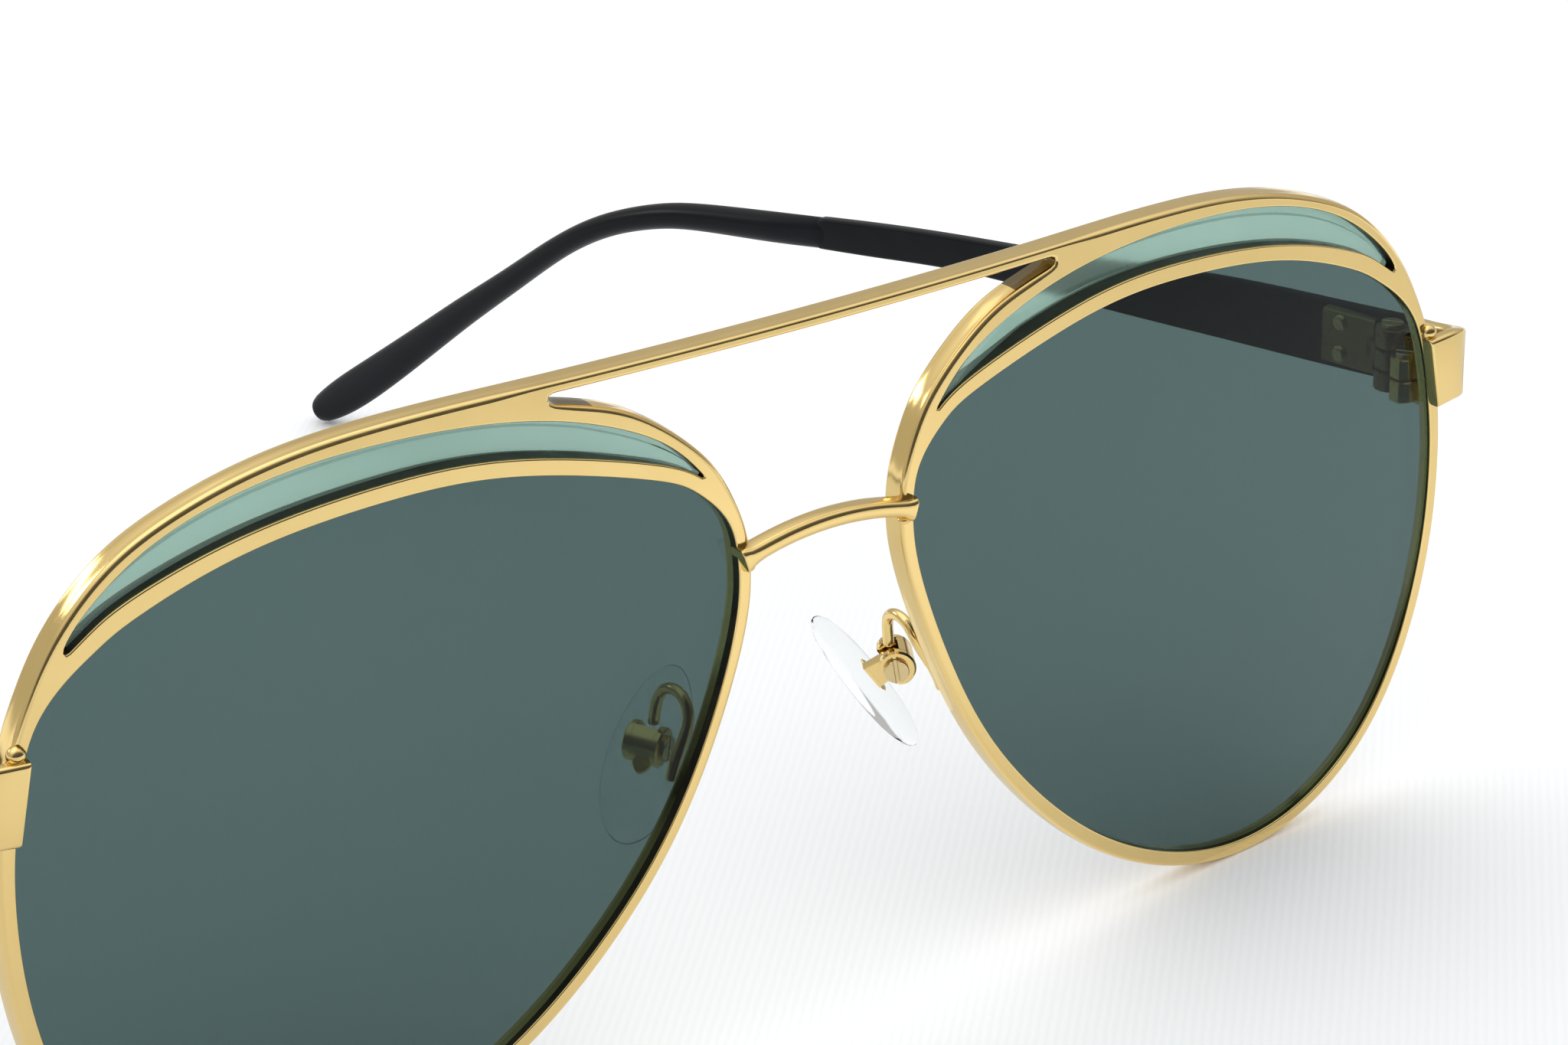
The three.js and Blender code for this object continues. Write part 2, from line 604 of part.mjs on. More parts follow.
function padScrew() {
  const geometry = screw(3.3, 0.85, 0.45, 0.4);
  geometry.translate(0, 0, -1.5);
  geometry.rotateY(Math.PI / 2);
  return geometry;
}

// Wire from the back of the rim, up and over to the pad box.
function padArm() {
  const curve = new THREE.CatmullRomCurve3(PAD_ARM_PATH.map((point) => new THREE.Vector3(...point)));
  const section = new THREE.Shape(ellipse(WIRE_RADIUS, WIRE_RADIUS, 8).map(([x, y]) => new THREE.Vector2(x, y)));
  return new THREE.ExtrudeGeometry(section, { steps: 16, extrudePath: curve, bevelEnabled: false });
}

function solderBead() {
  const [x, z] = SOLDER_BEAD;
  const geometry = new THREE.SphereGeometry(SOLDER_RADIUS, 12, 8);
  geometry.translate(x, frontDepth(x, z) - SOLDER_RADIUS - GAP, z);
  return geometry;
}

// ---------------------------------------------------------------- assembly
const glasses = new THREE.Group();
const front = new THREE.Group();
front.rotation.x = LEAN;
front.position.set(0, FRONT_Y, FRONT_Z);
glasses.add(front);

function place(parent, name, geometry, material) {
  const mesh = new THREE.Mesh(geometry, material);
  mesh.name = name;
  parent.add(mesh);
  return mesh;
}

place(front, 'brow_frame', browFrame(), gold);
place(front, 'bridge', bridge(), gold);

const lockBottom = LOCK_MIDDLE - GAP / 2 - LOCK_HEIGHT;
const lockScrew = screw(2 * LOCK_HEIGHT + GAP, 0.85, 0.45, SCREW_RADIUS);
lockScrew.translate(LOCK_CENTRE[0], LOCK_CENTRE[1], lockBottom + GAP);
const hingeScrew = screw(3 * KNUCKLE_STEP, 1.05, 0.5, SCREW_RADIUS);
hingeScrew.translate(0, 0, -1.5 * KNUCKLE_STEP);

const frontPieces = [
  ['rim', rim(), gold],
  ['lens', mainLens(), lensGlass],
  ['crescent_lens', crescentLens(), mintGlass],
  ['end_piece', endPiece(), gold],
  ['rim_lock_lower', rimLock(lockBottom), gold],
  ['rim_lock_upper', rimLock(LOCK_MIDDLE + GAP / 2), gold],
  ['rim_lock_screw', lockScrew, steel],
  ['pad_arm', padArm(), gold],
  ['solder_bead', solderBead(), gold],
];
const hingePieces = [
  ['front_hinge', frontHinge(), gold],
  ['hinge_screw', hingeScrew, steel],
];
const templePieces = [
  ['temple_hinge', templeHinge(), gold],
  ['temple_arm', templeArm(), enamel],
  ['temple_tip', templeTip(), acetate],
];
const padPieces = [
  ['pad_box', padBox(), gold],
  ['nose_pad', nosePad(), silicone],
  ['pad_insert', padInsert(), gold],
  ['pad_screw', padScrew(), steel],
];

for (const [side, sign] of [['right', 1], ['left', -1]]) {
  const handed = (geometry) => (sign > 0 ? geometry : mirrored(geometry));
  for (const [name, geometry, material] of frontPieces) {
    place(front, `${side}_${name}`, handed(geometry), material);
  }
  const hinge = new THREE.Group();
  hinge.position.set(sign * HINGE_X, HINGE_Y, HINGE_Z);
  front.add(hinge);
  for (const [name, geometry, material] of hingePieces) {
    place(hinge, `${side}_${name}`, handed(geometry), material);
  }
  const temple = new THREE.Group();
  temple.rotation.z = sign * TEMPLE_TOE_IN;
  hinge.add(temple);
  for (const [name, geometry, material] of templePieces) {
    const mesh = place(temple, `${side}_${name}`, handed(geometry), material);
    if (name !== 'temple_hinge') mesh.position.z = -HINGE_Z;
  }
  for (const [name, up] of [['upper', 1.4], ['lower', -1.4]]) {
    const rivet = place(temple, `${side}_rivet_${name}`, handed(templeRivet()), steel);
    rivet.position.set(0, 5.6, up);
  }
  const pad = new THREE.Group();
  for (const [name, geometry, material] of padPieces) {
    const placed = geometry.clone().applyMatrix4(padBasis);
    place(pad, `${side}_${name}`, handed(placed), material);
  }
  pad.position.set(sign * PAD_ANCHOR[0], PAD_ANCHOR[1], PAD_ANCHOR[2]);
  front.add(pad);
}

export default glasses;
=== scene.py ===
"""Looks of the aviator sunglasses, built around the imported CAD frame. Lengths below are in millimetres."""
import math

import bpy
import numpy as np
from mathutils import Matrix, Vector, geometry


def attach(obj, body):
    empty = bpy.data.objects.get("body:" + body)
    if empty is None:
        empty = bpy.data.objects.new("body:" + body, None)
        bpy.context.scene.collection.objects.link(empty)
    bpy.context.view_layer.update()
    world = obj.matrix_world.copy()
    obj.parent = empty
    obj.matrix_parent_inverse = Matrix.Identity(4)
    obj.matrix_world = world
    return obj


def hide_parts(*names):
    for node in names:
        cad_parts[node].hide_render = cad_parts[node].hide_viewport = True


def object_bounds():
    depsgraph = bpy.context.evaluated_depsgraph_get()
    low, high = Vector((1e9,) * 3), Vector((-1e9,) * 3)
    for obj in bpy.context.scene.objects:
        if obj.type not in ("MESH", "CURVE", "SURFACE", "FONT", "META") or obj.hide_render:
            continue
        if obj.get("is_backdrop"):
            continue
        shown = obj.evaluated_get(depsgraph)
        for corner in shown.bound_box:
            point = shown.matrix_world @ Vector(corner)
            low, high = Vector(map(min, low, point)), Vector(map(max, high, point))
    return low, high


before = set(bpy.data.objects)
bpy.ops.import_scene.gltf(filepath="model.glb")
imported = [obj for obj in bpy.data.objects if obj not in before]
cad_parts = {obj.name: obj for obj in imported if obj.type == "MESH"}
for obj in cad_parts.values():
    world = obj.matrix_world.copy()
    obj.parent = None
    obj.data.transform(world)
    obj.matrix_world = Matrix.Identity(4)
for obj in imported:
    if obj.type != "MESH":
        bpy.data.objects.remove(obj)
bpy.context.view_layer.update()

MM = 0.001
SIDES = (("right", 1.0), ("left", -1.0))

# ------------------------------------------------------------------ dimensions, close to the CAD's
# The front leans back by this angle, has its middle here and curves back to both sides, up and down.
LEAN = math.radians(2.13)
FRONT_Y, FRONT_Z = -71.26, 29.36
FRONT_RADIUS_X, FRONT_RADIUS_Z = 390.0, 275.0
# Edge of the right lens opening, x and z, and the width of the rim's face there.
LENS_OPENING = [
    (64.85, 6.5, 1.35), (62.9, 13.6, 1.3), (58.5, 18.0, 1.35), (54.8, 20.15, 1.45), (46.7, 22.95, 1.3),
    (36.0, 24.35, 1.3), (25.7, 23.85, 1.3), (15.3, 21.15, 1.25), (11.3, 19.2, 1.15), (8.8, 16.4, 1.2),
    (8.0, 12.6, 1.2), (8.9, 6.4, 1.1),
    (13.3, -4.6, 1.05), (19.6, -13.8, 1.2), (28.0, -21.6, 1.35), (38.5, -27.0, 1.4),
    (49.5, -27.8, 1.4), (59.3, -21.8, 1.35), (64.4, -10.0, 1.25), (65.4, 0.2, 1.25),
]
FRAME_DEPTH = 2.3
BAR_TOP, BAR_BOTTOM = 30.1, 29.3
# Edges of the brow and of the right crescent opening, x and z.
BROW_TOP_EDGE = [
    (65.9, 8.0), (65.35, 9.9), (64.5, 12.8), (63.0, 16.25), (60.6, 20.15), (56.35, 24.3), (51.1, 27.0),
    (46.0, 28.6), (41.0, 29.5), (36.0, 29.92), (30.0, 30.1), (22.0, 30.1),
]
BROW_INNER_EDGE = [
    (22.5, 28.5), (17.9, 27.2), (14.1, 25.15), (10.5, 22.0), (8.45, 18.9), (7.2, 15.6), (6.8, 12.6),
]
NOTCH_END = [(22.5, 29.3), (22.9, 29.15), (22.95, 28.8)]
CRESCENT_TOP_EDGE = [
    (60.5, 18.6), (58.8, 20.9), (53.6, 24.85), (45.8, 27.6), (37.6, 28.55),
    (29.4, 28.35), (21.4, 26.95), (14.2, 23.85), (10.4, 20.1),
]
LENS_THICKNESS = 1.8
LENS_CENTRE = np.array([36.0, -2.0])
LENS_IN_RIM = 0.35
# The lens surface lies deepest behind the rim at the nose and comes forward across the lens.
LENS_NASAL_X, LENS_WIDTH = 8.0, 57.0
LENS_NASAL_RECESS, LENS_RECESS_DROP = 0.85, 0.5
CRESCENT_THICKNESS = 1.2
CRESCENT_IN_RIM = 0.25
# A step along the top of each crescent: its depth, and how far down the crescent it ends.
CRESCENT_STEP, CRESCENT_STEP_END = 0.2, 0.32
# The arched bridge: its ends, the height of its top, how far it falls and over what distance.
BRIDGE_LEFT, BRIDGE_RIGHT = -8.0, 7.65
BRIDGE_RISE, BRIDGE_FALL, BRIDGE_SPAN = 14.45, 1.4, 8.3
BRIDGE_HALF_DEPTH, BRIDGE_HALF_HEIGHT, BRIDGE_FLARE, BRIDGE_EDGE = 0.95, 0.64, 0.35, 0.5
BRIDGE_FLARE_X, BRIDGE_FLARE_POWER = 7.7, 14
SOLDER_SPOTS = [(6.95, 13.35), (-7.15, 13.35), (7.05, 12.35), (-7.2, 12.3)]
SOLDER_SIZE = (0.55, 0.5, 0.3)
# Middle of the right hinge: across, back and up on the front.
HINGE = (66.2, 12.4, 7.4)
TOE_IN = math.radians(14)
TEMPLE_PLANE = 2.35
ARM_THICKNESS = 1.3
# Distance along the arm, its top and its bottom there.
ARM_EDGES = [
    (-1.2, 10.4, 4.4), (8.0, 9.9, 4.0), (20.0, 9.1, 3.6), (33.0, 7.5, 3.2),
    (46.0, 6.2, 2.9), (56.0, 5.1, 1.9), (64.1, 4.0, 1.0),
]
# Distance along the temple, height of the sleeve's middle and half its height there.
TIP_PATH = [
    (62.9, 2.65, 1.5), (70.8, 1.55, 1.45), (79.4, 0.4, 1.3), (85.3, -0.95, 1.2),
    (91.4, -3.3, 1.15), (97.6, -6.95, 1.15), (104.0, -11.75, 1.25), (110.7, -16.8, 1.45),
    (117.4, -22.05, 1.7), (124.3, -27.4, 1.95), (129.5, -31.2, 1.9), (132.8, -33.5, 1.4),
]
TIP_HALF_THICKNESS = 1.35
SLEEVE_CLEARANCE = 0.06
# The sleeve is as thick as it gets from this distance on.
SLEEVE_FULL = 70.0
# Middle of the end piece's strip: across, back and up on the front.
END_PIECE_PATH = [
    (62.4, 4.7, 8.55), (64.6, 4.95, 8.6), (66.9, 5.25, 8.7), (68.35, 5.95, 8.4),
    (68.95, 7.3, 7.95), (69.0, 9.4, 7.6), (69.0, 11.3, 7.4),
]
# Half thickness, half height at the lens and half height at the hinge.
END_PIECE_HALF = (0.6, 3.15, 2.9)
END_PIECE_CORNER, END_PIECE_BEVEL = 0.36, 0.14
BEAD = (64.5, 12.05)
BEAD_SIZE = (0.74, 0.72, 0.68)
PAD_ANCHOR = np.array([11.75, 8.05, -3.7])
PAD_CENTRE = (-0.9, -0.55, 3.15)
PAD_HALF = (3.2, 7.1)
# The cushion from its back to its front: share of the outline and height there.
PAD_PROFILE = [
    (0.02, -1.0), (0.5, -1.0), (0.8, -0.92), (0.92, -0.7), (0.98, -0.4), (1.0, -0.1), (0.98, 0.2),
    (0.93, 0.45), (0.84, 0.7), (0.7, 0.88), (0.5, 1.0), (0.3, 1.08), (0.02, 1.12),
]
PAD_TAPER = 0.12
# Middle of the wire that carries a pad: across, back and up on the front.
PAD_ARM_PATH = [
    (12.9, 3.35, -4.6), (12.2, 3.45, -2.8), (11.0, 3.7, -0.6), (10.6, 4.6, 0.9),
    (10.6, 6.1, 1.3), (10.8, 7.5, 0.5), (11.1, 7.95, -1.2), (11.2, 8.0, -2.2),
]
WIRE_RADIUS = 0.45

# ------------------------------------------------------------------ camera
camera_data = bpy.data.cameras.new("camera")
camera_data.lens = 110.13
camera_data.sensor_width = 36.0
camera_data.clip_start = 0.01
camera_data.clip_end = 20.0
camera = bpy.data.objects.new("camera", camera_data)
bpy.context.scene.collection.objects.link(camera)
camera_right = Vector((0.816196, -0.576837, -0.032912)).normalized()
camera_forward = Vector((0.523587, 0.762531, -0.380005)).normalized()
camera_up = camera_right.cross(camera_forward)
camera.matrix_world = Matrix.Translation((-0.189045, -0.340995, 0.178767)) @ Matrix(
    (camera_right, camera_up, -camera_forward)).transposed().to_4x4()
bpy.context.scene.camera = camera


# ------------------------------------------------------------------ curves
def smooth_path(points, spacing, closed=False):
    """Evenly spaced samples of the smooth curve through the points."""
    p = np.array(points, float)
    n = len(p)
    system = np.zeros((n, n))
    right = np.zeros_like(p)
    for i in range(n):
        before, after = (i - 1) % n, (i + 1) % n
        if closed or 0 < i < n - 1:
            system[i, before] += 1
            system[i, i] += 4
            system[i, after] += 1
            right[i] = 3 * (p[after] - p[before])
        else:
            other = 1 if i == 0 else n - 2
            system[i, i] = 2
            system[i, other] = 1
            right[i] = 3 * (p[1] - p[0]) if i == 0 else 3 * (p[-1] - p[-2])
    slope = np.linalg.solve(system, right)
    dense = []
    for i in range(n if closed else n - 1):
        j = (i + 1) % n
        t = np.linspace(0, 1, 40, endpoint=False)[:, None]
        dense.append((2 * t**3 - 3 * t**2 + 1) * p[i] + (t**3 - 2 * t**2 + t) * slope[i]
                     + (3 * t**2 - 2 * t**3) * p[j] + (t**3 - t**2) * slope[j])
    dense = np.vstack(dense + [p[:1] if closed else p[-1:]])
    return respace(dense, spacing, closed)


def respace(points, spacing, closed):
    """The polyline resampled at even steps; a closed one comes with its first point repeated at its end."""
    steps = np.linalg.norm(np.diff(points, axis=0), axis=1)
    along = np.concatenate([[0], np.cumsum(steps)])
    count = max(4, int(round(along[-1] / spacing)))
    where = np.linspace(0, along[-1], count + 1)
    result = np.stack([np.interp(where, along, points[:, k]) for k in range(points.shape[1])], axis=1)
    return result[:-1] if closed else result


def soften(points, passes):
    """Rounds the sharp corners of a closed polyline."""
    for _ in range(passes):
        points = (np.roll(points, 1, 0) + 2 * points + np.roll(points, -1, 0)) / 4
    return points


def outward(points):
    """Unit normals of a closed polyline, to the right of its direction."""
    along = np.roll(points, -1, 0) - np.roll(points, 1, 0)
    along /= np.linalg.norm(along, axis=1)[:, None]
    return np.stack([along[:, 1], -along[:, 0]], axis=1)


def flipped(points):
    """Mirror image of an outline in x, running the same way round."""
    return (points * [-1, 1])[::-1]


def rim_outlines(spacing):
    """Edge of the right lens opening and the outside of its rim, point by point."""
    path = smooth_path(LENS_OPENING, spacing, True)
    inside = path[:, :2]
    return inside, inside + outward(inside) * path[:, 2:]


# ------------------------------------------------------------------ places
def front_depth(x, z):
    """How far the curved front lies behind its middle."""
    return x * x / (2 * FRONT_RADIUS_X) + z * z / (2 * FRONT_RADIUS_Z)


def lens_recess(x):
    """Depth of the lens surface behind the rim's face, less towards the temples."""
    return LENS_NASAL_RECESS - LENS_RECESS_DROP * np.clip((np.abs(x) - LENS_NASAL_X) / LENS_WIDTH, 0, 1)


def crescent_recess(x):
    """The same for the crescents, which are deepest in their nasal third and shallow at both tips."""
    temporal = 1.65 - 0.8 * np.clip((np.abs(x) - 25) / 33, 0, 1)
    nasal = 0.4 + 0.18 * np.clip(np.abs(x) - 13, 0, 10)
    return np.minimum(temporal, nasal)


def lean(points):
    """Front points or directions turned to the row frame's axes."""
    c, s = math.cos(LEAN), math.sin(LEAN)
    p = np.asarray(points, float)
    return np.stack([p[:, 0], p[:, 1] * c - p[:, 2] * s, p[:, 1] * s + p[:, 2] * c], axis=1)


def from_front(points):
    """Points given across, back and up on the front, in the row frame."""
    return lean(points) + [0, FRONT_Y, FRONT_Z]


def from_temple(points):
    """Points given across, along and up from the right hinge, in the row frame."""
    p = np.asarray(points, float)
    c, s = math.cos(TOE_IN), math.sin(TOE_IN)
    return from_front(np.stack([
        HINGE[0] + p[:, 0] * c - p[:, 1] * s, HINGE[1] + p[:, 0] * s + p[:, 1] * c, p[:, 2]], axis=1))


def from_hinge(points):
    """Points given across, along and up from the right hinge's middle on the front, in the row frame."""
    return from_front(np.asarray(points, float) + HINGE)


def from_temple_hinge(points):
    """Points given across, along and up from the hinge's middle on the right temple, in the row frame."""
    return from_temple(np.asarray(points, float) + [0, 0, HINGE[2]])


pad_long = np.array([0.53, -0.23, -0.815])
pad_long /= np.linalg.norm(pad_long)
pad_across = np.array([0.545, 0.839, 0.0])
pad_across -= pad_long * pad_across.dot(pad_long)
pad_across /= np.linalg.norm(pad_across)
pad_out = np.cross(pad_across, pad_long)


def from_pad(points):
    """Points given across the right pad, up along it and out to the nose, in the row frame."""
    p = np.asarray(points, float)
    return from_front(PAD_ANCHOR - p[:, :1] * pad_across - p[:, 1:2] * pad_long + p[:, 2:] * pad_out)


# ------------------------------------------------------------------ meshes
def add_piece(name, points, faces, materials, body, nodes=(), face_materials=None,
              normals=None, sharp=35.0, mirror=False):
    """A mesh piece from points in the row frame, riding on a body and standing for CAD nodes."""
    points = np.array(points, float) * MM
    faces = [tuple(f) for f in faces]
    if mirror:
        points = points * [-1, 1, 1]
        faces = [f[::-1] for f in faces]
    mesh = bpy.data.meshes.new(name)
    mesh.from_pydata(points.tolist(), [], faces)
    for material in materials:
        mesh.materials.append(material)
    if face_materials is not None:
        mesh.polygons.foreach_set("material_index", np.array(face_materials, np.int32))
    mesh.shade_smooth()
    if normals is not None:
        n = np.array(normals, float) * ([-1, 1, 1] if mirror else [1, 1, 1])
        mesh.normals_split_custom_set_from_vertices((n / np.linalg.norm(n, axis=1)[:, None]).tolist())
    else:
        mesh.set_sharp_from_angle(angle=math.radians(sharp))
    mesh.update()
    piece = bpy.data.objects.new(name, mesh)
    bpy.context.scene.collection.objects.link(piece)
    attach(piece, body)
    if nodes:
        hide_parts(*nodes)
    return piece


def skin(rings):
    """Quads through rings of equal size, with an end face on each end ring."""
    size = len(rings[0])
    points = np.vstack(rings)
    faces = []
    for r in range(len(rings) - 1):
        for i in range(size):
            j = (i + 1) % size
            faces.append((r * size + i, r * size + j, (r + 1) * size + j, (r + 1) * size + i))
    faces.append(tuple(range(size))[::-1])
    faces.append(tuple((len(rings) - 1) * size + i for i in range(size)))
    return points, faces


def turned_out(points, faces):
    """Faces reversed if the closed body they make is inside out."""
    volume = 0.0
    for f in faces:
        for k in range(1, len(f) - 1):
            volume += np.dot(points[f[0]], np.cross(points[f[k]], points[f[k + 1]]))
    return faces if volume > 0 else [f[::-1] for f in faces]


def rounded_section(half_a, half_b, radius):
    """Rounded rectangle as a list of a, b offsets."""
    result = []
    for quarter, (sa, sb) in enumerate(((1, 1), (-1, 1), (-1, -1), (1, -1))):
        for k in range(5):
            angle = math.pi / 2 * (quarter + k / 4)
            result.append((sa * (half_a - radius) + radius * math.cos(angle),
                           sb * (half_b - radius) + radius * math.sin(angle)))
    return np.array(result)


def oval(half_a, half_b, count=24):
    """Ellipse as a list of a, b offsets."""
    angle = np.linspace(0, 2 * math.pi, count, endpoint=False)
    return np.stack([half_a * np.cos(angle), half_b * np.sin(angle)], axis=1)


def rounded_end(ring, neighbour, radius):
    """Three rings that round off an end ring, the last one in the plane of that ring."""
    middle = ring.mean(0)
    outwards = middle - neighbour.mean(0)
    outwards /= np.linalg.norm(outwards)
    size = np.linalg.norm(ring - middle, axis=1).min()
    result = []
    for degrees in (30, 60, 90):
        angle = math.radians(degrees)
        shrink = 1 - radius * (1 - math.cos(angle)) / max(size, 1e-6)
        result.append(middle + (ring - middle) * shrink + outwards * radius * (math.sin(angle) - 1))
    return result


def rounded_tube(path, sections, end_radius=0.25):
    """Rings along a path; sections gives each station's a and b directions and offsets. Ends are rounded."""
    rings = []
    for centre, (a_axis, b_axis, offsets) in zip(path, sections):
        rings.append(centre + offsets[:, :1] * a_axis + offsets[:, 1:] * b_axis)
    first = rounded_end(rings[0], rings[1], end_radius)[::-1]
    last = rounded_end(rings[-1], rings[-2], end_radius)
    for end, neighbour in ((0, 1), (-1, -2)):
        inwards = rings[neighbour].mean(0) - rings[end].mean(0)
        rings[end] = rings[end] + inwards / np.linalg.norm(inwards) * end_radius
    points, faces = skin(first + rings + last)
    return points, turned_out(points, faces)


# ------------------------------------------------------------------ materials
def new_material(name, **settings):
    """A node material and its shader, with these values on the shader's sockets."""
    material = bpy.data.materials.new(name)
    material.use_nodes = True
    shader = material.node_tree.nodes["Principled BSDF"]
    for key, value in settings.items():
        shader.inputs[key].default_value = value
    return material, shader


def add_node(owner, kind, **settings):
    """A node in a material or world, with these values on its sockets or properties."""
    node = owner.node_tree.nodes.new(kind)
    for key, value in settings.items():
        if key in node.inputs:
            node.inputs[key].default_value = value
        else:
            setattr(node, key, value)
    return node


def noise_of(material, scale, detail=3.0, stretch=(1, 1, 1)):
    """Noise that stays fixed to the piece."""
    link = material.node_tree.links.new
    coordinates = add_node(material, "ShaderNodeTexCoord")
    mapping = add_node(material, "ShaderNodeMapping")
    mapping.inputs["Scale"].default_value = stretch
    noise = add_node(material, "ShaderNodeTexNoise")
    noise.inputs["Scale"].default_value = scale
    noise.inputs["Detail"].default_value = detail
    link(coordinates.outputs["Object"], mapping.inputs["Vector"])
    link(mapping.outputs["Vector"], noise.inputs["Vector"])
    return noise


def vary(material, shader, socket, low, high, scale):
    """Lets a socket drift between two values over the surface."""
    link = material.node_tree.links.new
    noise = noise_of(material, scale)
    limits = {"From Min": 0.3, "From Max": 0.7, "To Min": low, "To Max": high}
    ramp = add_node(material, "ShaderNodeMapRange", **limits)
    link(noise.outputs["Fac"], ramp.inputs["Value"])
    link(ramp.outputs["Result"], shader.inputs[socket])


def tint(material, shader, first, second, scale, detail=3.0, stretch=(1, 1, 1)):
    """Lets the base colour drift between two colours over the surface."""
    link = material.node_tree.links.new
    noise = noise_of(material, scale, detail, stretch)
    ramp = add_node(material, "ShaderNodeValToRGB")
    ramp.color_ramp.elements[0].position = 0.35
    ramp.color_ramp.elements[0].color = (*first, 1)
    ramp.color_ramp.elements[1].position = 0.65
    ramp.color_ramp.elements[1].color = (*second, 1)
    link(noise.outputs["Fac"], ramp.inputs["Fac"])
    link(ramp.outputs["Color"], shader.inputs["Base Color"])


def roughen(material, shader, scale, strength):
    """Fine bump."""
    link = material.node_tree.links.new
    noise = noise_of(material, scale)
    bump = add_node(material, "ShaderNodeBump", Strength=strength, Distance=0.00002)
    link(noise.outputs["Fac"], bump.inputs["Height"])
    link(bump.outputs["Normal"], shader.inputs["Normal"])


gold, shader = new_material("pale_gold_plate", Metallic=1.0)
tint(gold, shader, (0.885, 0.652, 0.265), (0.915, 0.677, 0.284), 180)
vary(gold, shader, "Roughness", 0.11, 0.18, 420)
roughen(gold, shader, 900, 0.15)

# Painted dark reflection and shade: a near-black copy of the metal for the walls round the lens and crescent
# glass, where the gold mirrors the dark glass.
lens_wall_painted_dark, shader = new_material("painted_shade_lens_wall", Metallic=0.6)
tint(lens_wall_painted_dark, shader, (0.020, 0.018, 0.012), (0.040, 0.035, 0.022), 300)
vary(lens_wall_painted_dark, shader, "Roughness", 0.25, 0.4, 500)

# Painted shade: the hinges get a dark copy of the gold, darker than the metal they are made of.
hinge_painted_shade, shader = new_material("painted_shade_hinge_metal", Metallic=1.0)
tint(hinge_painted_shade, shader, (0.28, 0.21, 0.10), (0.33, 0.25, 0.12), 180)
vary(hinge_painted_shade, shader, "Roughness", 0.2, 0.3, 420)
roughen(hinge_painted_shade, shader, 900, 0.2)

# Painted shade: a darker copy of the gold for the walls of the notch between bar and band and for the lower
# temporal lens wall.
gold_painted_shade, shader = new_material("painted_shade_gold_plate", Metallic=1.0)
tint(gold_painted_shade, shader, (0.16, 0.12, 0.055), (0.20, 0.15, 0.07), 180)
vary(gold_painted_shade, shader, "Roughness", 0.16, 0.24, 420)

screw_metal, shader = new_material("screw_metal", Metallic=1.0)
tint(screw_metal, shader, (0.70, 0.54, 0.28), (0.80, 0.62, 0.34), 300)
vary(screw_metal, shader, "Roughness", 0.18, 0.3, 600)
roughen(screw_metal, shader, 1200, 0.2)

lens_glass, shader = new_material("grey_green_lens", Roughness=0.0, IOR=1.25)
tint(lens_glass, shader, (0.0745, 0.1245, 0.1195), (0.0765, 0.1275, 0.1225), 25)
shader.inputs["Transmission Weight"].default_value = 1.0

mint_glass, shader = new_material("mint_lens", Roughness=0.08, IOR=1.4)
tint(mint_glass, shader, (0.355, 0.552, 0.47), (0.385, 0.585, 0.503), 60)
shader.inputs["Transmission Weight"].default_value = 0.75
roughen(mint_glass, shader, 60, 0.03)

DULL_SHINE = {"Roughness": 0.32, "Specular IOR Level": 0.12, "Coat Weight": 0.05}
enamel, shader = new_material("blue_black_enamel", **DULL_SHINE, **{"Coat Roughness": 0.1})
tint(enamel, shader, (0.003, 0.004, 0.006), (0.005, 0.007, 0.009), 120)
roughen(enamel, shader, 500, 0.05)

acetate, shader = new_material("blue_black_acetate", **DULL_SHINE, **{"Coat Roughness": 0.15})
tint(acetate, shader, (0.003, 0.004, 0.006), (0.006, 0.008, 0.011), 60, 4.0, (1, 0.3, 1))
roughen(acetate, shader, 400, 0.04)

silicone, shader = new_material("clear_silicone", Roughness=0.05, IOR=1.065)
tint(silicone, shader, (0.95, 0.97, 0.97), (0.98, 0.99, 0.99), 200)
shader.inputs["Transmission Weight"].default_value = 1.0
roughen(silicone, shader, 300, 0.03)

# Cloth with fine ribs, with painted shade that is darker in the hollows between them.
cloth, shader = new_material("white_cloth", Roughness=0.9)
cloth_link = cloth.node_tree.links.new
cloth_place = add_node(cloth, "ShaderNodeTexCoord")
cloth_turn = add_node(cloth, "ShaderNodeMapping", Rotation=(0.0, 0.0, math.radians(43)))
ribs = add_node(cloth, "ShaderNodeTexWave", Scale=420.0, Distortion=1.2, Detail=2.0)
rib_painted_shade = add_node(cloth, "ShaderNodeValToRGB")
rib_painted_shade.color_ramp.elements[0].color = (0.893, 0.905, 0.92, 1)
rib_painted_shade.color_ramp.elements[1].color = (0.92, 0.93, 0.942, 1)
rib_bump = add_node(cloth, "ShaderNodeBump", Strength=0.08, Distance=0.0001)
cloth_link(cloth_place.outputs["Object"], cloth_turn.inputs["Vector"])
cloth_link(cloth_turn.outputs["Vector"], ribs.inputs["Vector"])
cloth_link(ribs.outputs["Fac"], rib_painted_shade.inputs["Fac"])
cloth_link(rib_painted_shade.outputs["Color"], shader.inputs["Base Color"])
cloth_link(ribs.outputs["Fac"], rib_bump.inputs["Height"])
cloth_link(rib_bump.outputs["Normal"], shader.inputs["Normal"])

window_glow, shader = new_material("window_glow")
shader.inputs["Base Color"].default_value = (0, 0, 0, 1)
shader.inputs["Emission Color"].default_value = (1.0, 0.98, 0.94, 1)
shader.inputs["Emission Strength"].default_value = 5.0
